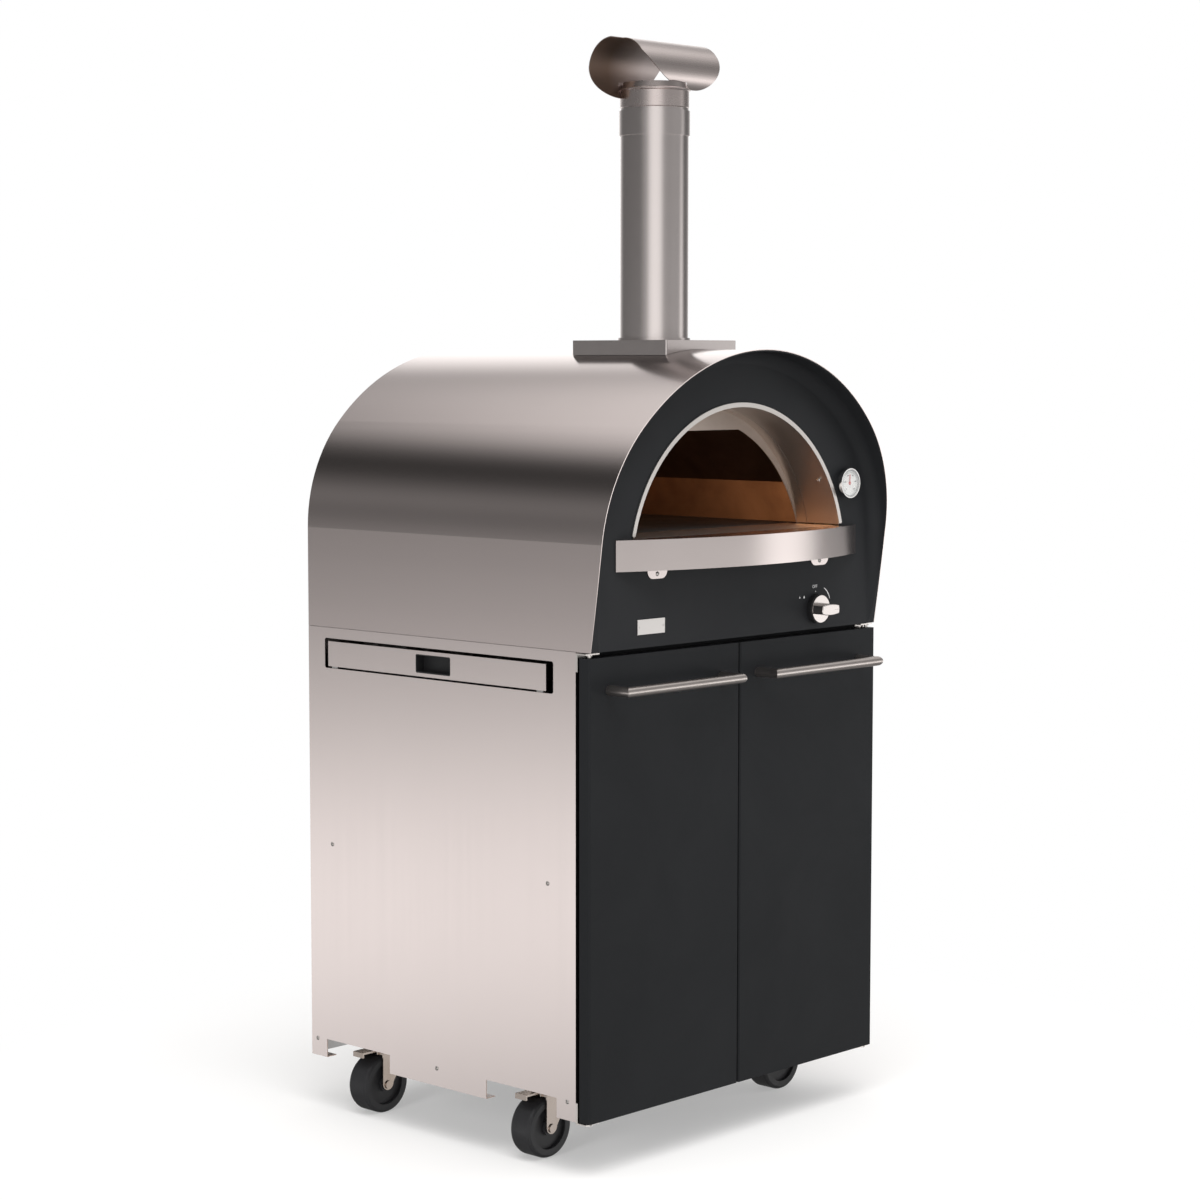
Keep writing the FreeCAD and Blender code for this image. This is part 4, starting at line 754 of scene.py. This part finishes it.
# %% The dial's numbers and ring
number_circle = 0.0138
number_height = 0.0034
for count in range(number_gaps + 1):
    angle = math.radians(90 + scale_turn / 2 - count * scale_turn / number_gaps)
    place = facing_front(dial_x + number_circle * math.cos(angle), dial_face - in_front,
                         dial_z + number_circle * math.sin(angle))
    lettering(scale, str(count * 100), number_height, place)
finish_piece("dial_scale", scale, "print_black", "oven_table")
rim_band = turned([(20.6, 0.0), (20.6, 0.08), (21.7, 0.08), (21.7, 0.0), (20.6, 0.0)], 64)
bmesh.ops.transform(rim_band, matrix=facing_front(dial_x, dial_face, dial_z), verts=rim_band.verts[:])
finish_piece("dial_band", rim_band, "print_grey", "oven_table")

# %% [markdown]
# The name plate stays bare, but a real one has a rolled border and a rivet at each end. The
# border is a flat frame, made by insetting a plane, raising it and rounding its edges.

# %% The bare plate's border and rivets
plate_low, plate_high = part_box("blank_plate")
plate_width = plate_high[0] - plate_low[0]
plate_height = plate_high[2] - plate_low[2]
plate_x = (plate_high[0] + plate_low[0]) / 2
plate_z = (plate_high[2] + plate_low[2]) / 2
plate_edge = 0.0016
border_width = 0.0009
border_height = 0.0004
rivet_from_end = 0.0042
border = bmesh.new()
bmesh.ops.create_grid(border, x_segments=1, y_segments=1, size=0.5)
bmesh.ops.scale(border, vec=(plate_width - plate_edge, plate_height - plate_edge, 1), verts=border.verts[:])
rim = bmesh.ops.inset_region(border, faces=border.faces[:], thickness=border_width)["faces"]
inner = [face for face in border.faces if face not in rim]
bmesh.ops.delete(border, geom=inner, context="FACES_ONLY")
raise_faces(border, border_height)
bmesh.ops.bevel(border, geom=border.edges[:], offset=0.00012, segments=2, affect="EDGES", profile=0.5,
                material=-1)
plate_work = bmesh.new()
add_copy(plate_work, border, facing_front(plate_x, plate_low[1], plate_z))
border.free()
rivet = turned([(0.0, 0.7), (0.6, 0.62), (1.1, 0.3), (1.3, 0.0), (0.0, 0.0)], 20)
for side in (-1, 1):
    rivet_x = plate_x + side * (plate_width / 2 - rivet_from_end)
    add_copy(plate_work, rivet, facing_front(rivet_x, plate_low[1], plate_z))
rivet.free()
finish_piece("plate_border", plate_work, "plate_steel", "oven_table", 40)

# %% [markdown]
# The floor is a pale disc. Close to the object it takes the object's shadow, and further out it
# turns into the same plain white as the background, so that no edge shows. Mirrored in steel it
# is left clear, because the studio's own ramp of heights already has the floor's band of light.


# %% The floor
def ramp_node(tree, value, stops):
    """A ramp of greys: stops are (place, brightness) pairs."""
    ramp = add(tree, "ShaderNodeValToRGB")
    ramp.color_ramp.interpolation = "EASE"
    while len(ramp.color_ramp.elements) < len(stops):
        ramp.color_ramp.elements.new(0.5)
    for element, (where, grey) in zip(ramp.color_ramp.elements, stops):
        element.position = where
        element.color = (grey, grey, grey, 1.0)
    tree.links.new(value, ramp.inputs["Fac"])
    return ramp.outputs["Color"]


floor_radius = 2.4
sheet = bmesh.new()
bmesh.ops.create_circle(sheet, cap_ends=True, radius=floor_radius, segments=96)
floor_mesh = bpy.data.meshes.new("studio_floor")
sheet.to_mesh(floor_mesh)
sheet.free()
floor = bpy.data.objects.new("studio_floor", floor_mesh)
bpy.context.scene.collection.objects.link(floor)
print("floor radius", floor_radius)

# %% [markdown]
# The floor's material mixes a matte grey with a glowing white by the distance from its middle,
# and a second mix hides both from glossy rays.

# %% The floor's material
floor_material = bpy.data.materials.new("studio_floor")
floor_material.use_nodes = True
tree = floor_material.node_tree
tree.nodes.clear()
place = add(tree, "ShaderNodeTexCoord").outputs["Object"]
distance = add(tree, "ShaderNodeVectorMath", {"operation": "LENGTH"})
tree.links.new(place, distance.inputs[0])
reach = add(tree, "ShaderNodeMath", {"operation": "DIVIDE"})
reach.inputs[1].default_value = floor_radius
tree.links.new(distance.outputs["Value"], reach.inputs[0])
matte = add(tree, "ShaderNodeBsdfDiffuse", Color=(0.90, 0.89, 0.88, 1.0))
white = add(tree, "ShaderNodeEmission", Color=(1, 1, 1, 1), Strength=1.0)
clear = add(tree, "ShaderNodeBsdfTransparent")
to_white = ramp_node(tree, reach.outputs[0], [(0.0, 0.34), (0.2, 0.36), (0.34, 0.55), (0.5, 1.0)])
seen = add(tree, "ShaderNodeMixShader")
tree.links.new(to_white, seen.inputs[0])
tree.links.new(matte.outputs[0], seen.inputs[1])
tree.links.new(white.outputs[0], seen.inputs[2])
path = add(tree, "ShaderNodeLightPath")
by_ray = add(tree, "ShaderNodeMixShader")
tree.links.new(path.outputs["Is Glossy Ray"], by_ray.inputs[0])
tree.links.new(seen.outputs[0], by_ray.inputs[1])
tree.links.new(clear.outputs[0], by_ray.inputs[2])
surface = add(tree, "ShaderNodeOutputMaterial")
tree.links.new(by_ray.outputs[0], surface.inputs["Surface"])
floor.data.materials.append(floor_material)
print("floor material", floor_material.name)

# %% [markdown]
# Polished steel looks like what it mirrors, so the studio around the object matters as much as
# the lamps. The camera sees plain white, and the steel sees a room that is drawn in the world.
# A ramp by height gives its bright lit floor, dim walls and bright ceiling, and smooth spots add
# a backdrop behind the object, a window by the camera and a lit wall to the right.

# %% The room by height
world = bpy.data.worlds.new("studio")
bpy.context.scene.world = world
world.use_nodes = True
tree = world.node_tree
tree.nodes.clear()
direction = add(tree, "ShaderNodeTexCoord").outputs["Generated"]
split = add(tree, "ShaderNodeSeparateXYZ")
tree.links.new(direction, split.inputs[0])
height = add(tree, "ShaderNodeMapRange")
height.inputs["From Min"].default_value = -1.0
height.inputs["From Max"].default_value = 1.0
tree.links.new(split.outputs["Z"], height.inputs["Value"])


def at(elevation):
    """Where an elevation in degrees falls on the ramp of heights."""
    return 0.5 + 0.5 * math.sin(math.radians(elevation))


brightness_by_elevation = [
    (-45, 0.16), (-22, 0.22), (-16, 0.50), (-13, 1.03), (-11.2, 1.34), (-9.6, 1.11), (-8, 0.66),
    (-6.5, 0.46), (-5, 0.32), (-3.5, 0.22), (0, 0.16), (3, 0.145), (7, 0.14), (13.5, 0.175), (17, 0.155),
    (21, 0.10), (26, 0.045), (30, 0.03), (34, 0.055), (37, 0.14), (40, 0.30), (43, 0.51), (47, 0.80),
    (58, 1.1)]
walls = ramp_node(tree, height.outputs["Result"],
                  [(at(elevation), grey) for elevation, grey in brightness_by_elevation])
wall_value = add(tree, "ShaderNodeRGBToBW")
tree.links.new(walls, wall_value.inputs["Color"])
print(len(brightness_by_elevation), "steps of height")

# %% [markdown]
# A spot is brightest in one direction and fades with the angle from it, which a dot product of
# two directions gives. A narrow spot on a wide one makes a bright middle with a soft edge.


# %% The room's soft spots
def soft_spot(bearing, elevation, outer, strength):
    """Brightness round a bearing (degrees clockwise from +Y) that is gone past outer degrees."""
    level = math.cos(math.radians(elevation))
    facing = add(tree, "ShaderNodeVectorMath", {"operation": "DOT_PRODUCT"})
    facing.inputs[1].default_value = (level * math.sin(math.radians(bearing)),
                                      level * math.cos(math.radians(bearing)),
                                      math.sin(math.radians(elevation)))
    tree.links.new(direction, facing.inputs[0])
    edge = add(tree, "ShaderNodeMapRange", {"interpolation_type": "SMOOTHSTEP"})
    edge.inputs["From Min"].default_value = math.cos(math.radians(outer))
    edge.inputs["From Max"].default_value = 1.0
    edge.inputs["To Max"].default_value = strength
    tree.links.new(facing.outputs["Value"], edge.inputs["Value"])
    return edge.outputs["Result"]


backdrop = [soft_spot(43, 10, 30, 0.75), soft_spot(43, 10, 50, 0.45)]
window = [soft_spot(-136, 0, 31, 0.55), soft_spot(-136, 0, 55, 0.30)]
right_wall = [soft_spot(122, -7, 16, 0.85), soft_spot(152, 3, 40, 0.20), soft_spot(115, 45, 30, 0.4)]
spots = backdrop + window + right_wall
room = wall_value.outputs["Val"]
for lit_spot in spots:
    room = combine(tree, "ADD", room, lit_spot)
print(len(spots), "soft spots")

# %% [markdown]
# Is Camera Ray tells what the camera sees directly from what reaches it by way of the object,
# so the background can be plain white without putting more light on the steel.

# %% What the camera sees and what the object sees
room_light = add(tree, "ShaderNodeBackground", Color=(1.0, 0.99, 0.98, 1.0))
tree.links.new(room, room_light.inputs["Strength"])
plain_white = add(tree, "ShaderNodeBackground", Color=(1, 1, 1, 1), Strength=1.0)
path = add(tree, "ShaderNodeLightPath")
seen_by = add(tree, "ShaderNodeMixShader")
tree.links.new(path.outputs["Is Camera Ray"], seen_by.inputs[0])
tree.links.new(room_light.outputs[0], seen_by.inputs[1])
tree.links.new(plain_white.outputs[0], seen_by.inputs[2])
out = add(tree, "ShaderNodeOutputWorld")
tree.links.new(seen_by.outputs[0], out.inputs["Surface"])
print("world", world.name)

# %% [markdown]
# Three soft lamps shape the object: a broad one overhead and two weaker ones from the right and
# the left. The steel doesn't mirror them, because the room has its own bright parts. A small
# warm lamp inside the chamber stands for the glow of the gas fire.


# %% The lamps
def soft_lamp(name, place, towards, size, watts, colour=(1.0, 1.0, 1.0)):
    """A square lamp of a size in metres that faces a place."""
    data = bpy.data.lights.new(name, "AREA")
    data.shape = "SQUARE"
    data.size = size
    data.energy = watts
    data.color = colour
    lamp = bpy.data.objects.new(name, data)
    bpy.context.scene.collection.objects.link(lamp)
    lamp.location = place
    lamp.rotation_euler = (Vector(towards) - Vector(place)).to_track_quat("-Z", "Y").to_euler()
    return lamp


overhead = soft_lamp("overhead", (-1.0, -1.2, 4.2), (0, 0, 0.8), 3.0, 120.0)
right_fill = soft_lamp("right_fill", (3.5, -2.5, 2.0), (0, 0, 0.9), 2.0, 50.0)
left_fill = soft_lamp("left_fill", (-3.6, -0.7, 1.6), (0, -0.3, 1.1), 1.2, 36.0)
for lamp in (overhead, right_fill, left_fill):
    lamp.visible_glossy = False
hearth_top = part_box("hearth_tiles")[1][2]
soft_lamp("fire_glow", (-0.20, 0.10, hearth_top + 0.06), (0.25, 0.0, hearth_top + 0.02), 0.12,
          0.35, (1.0, 0.5, 0.22))
print(len(bpy.data.lights), "lamps")
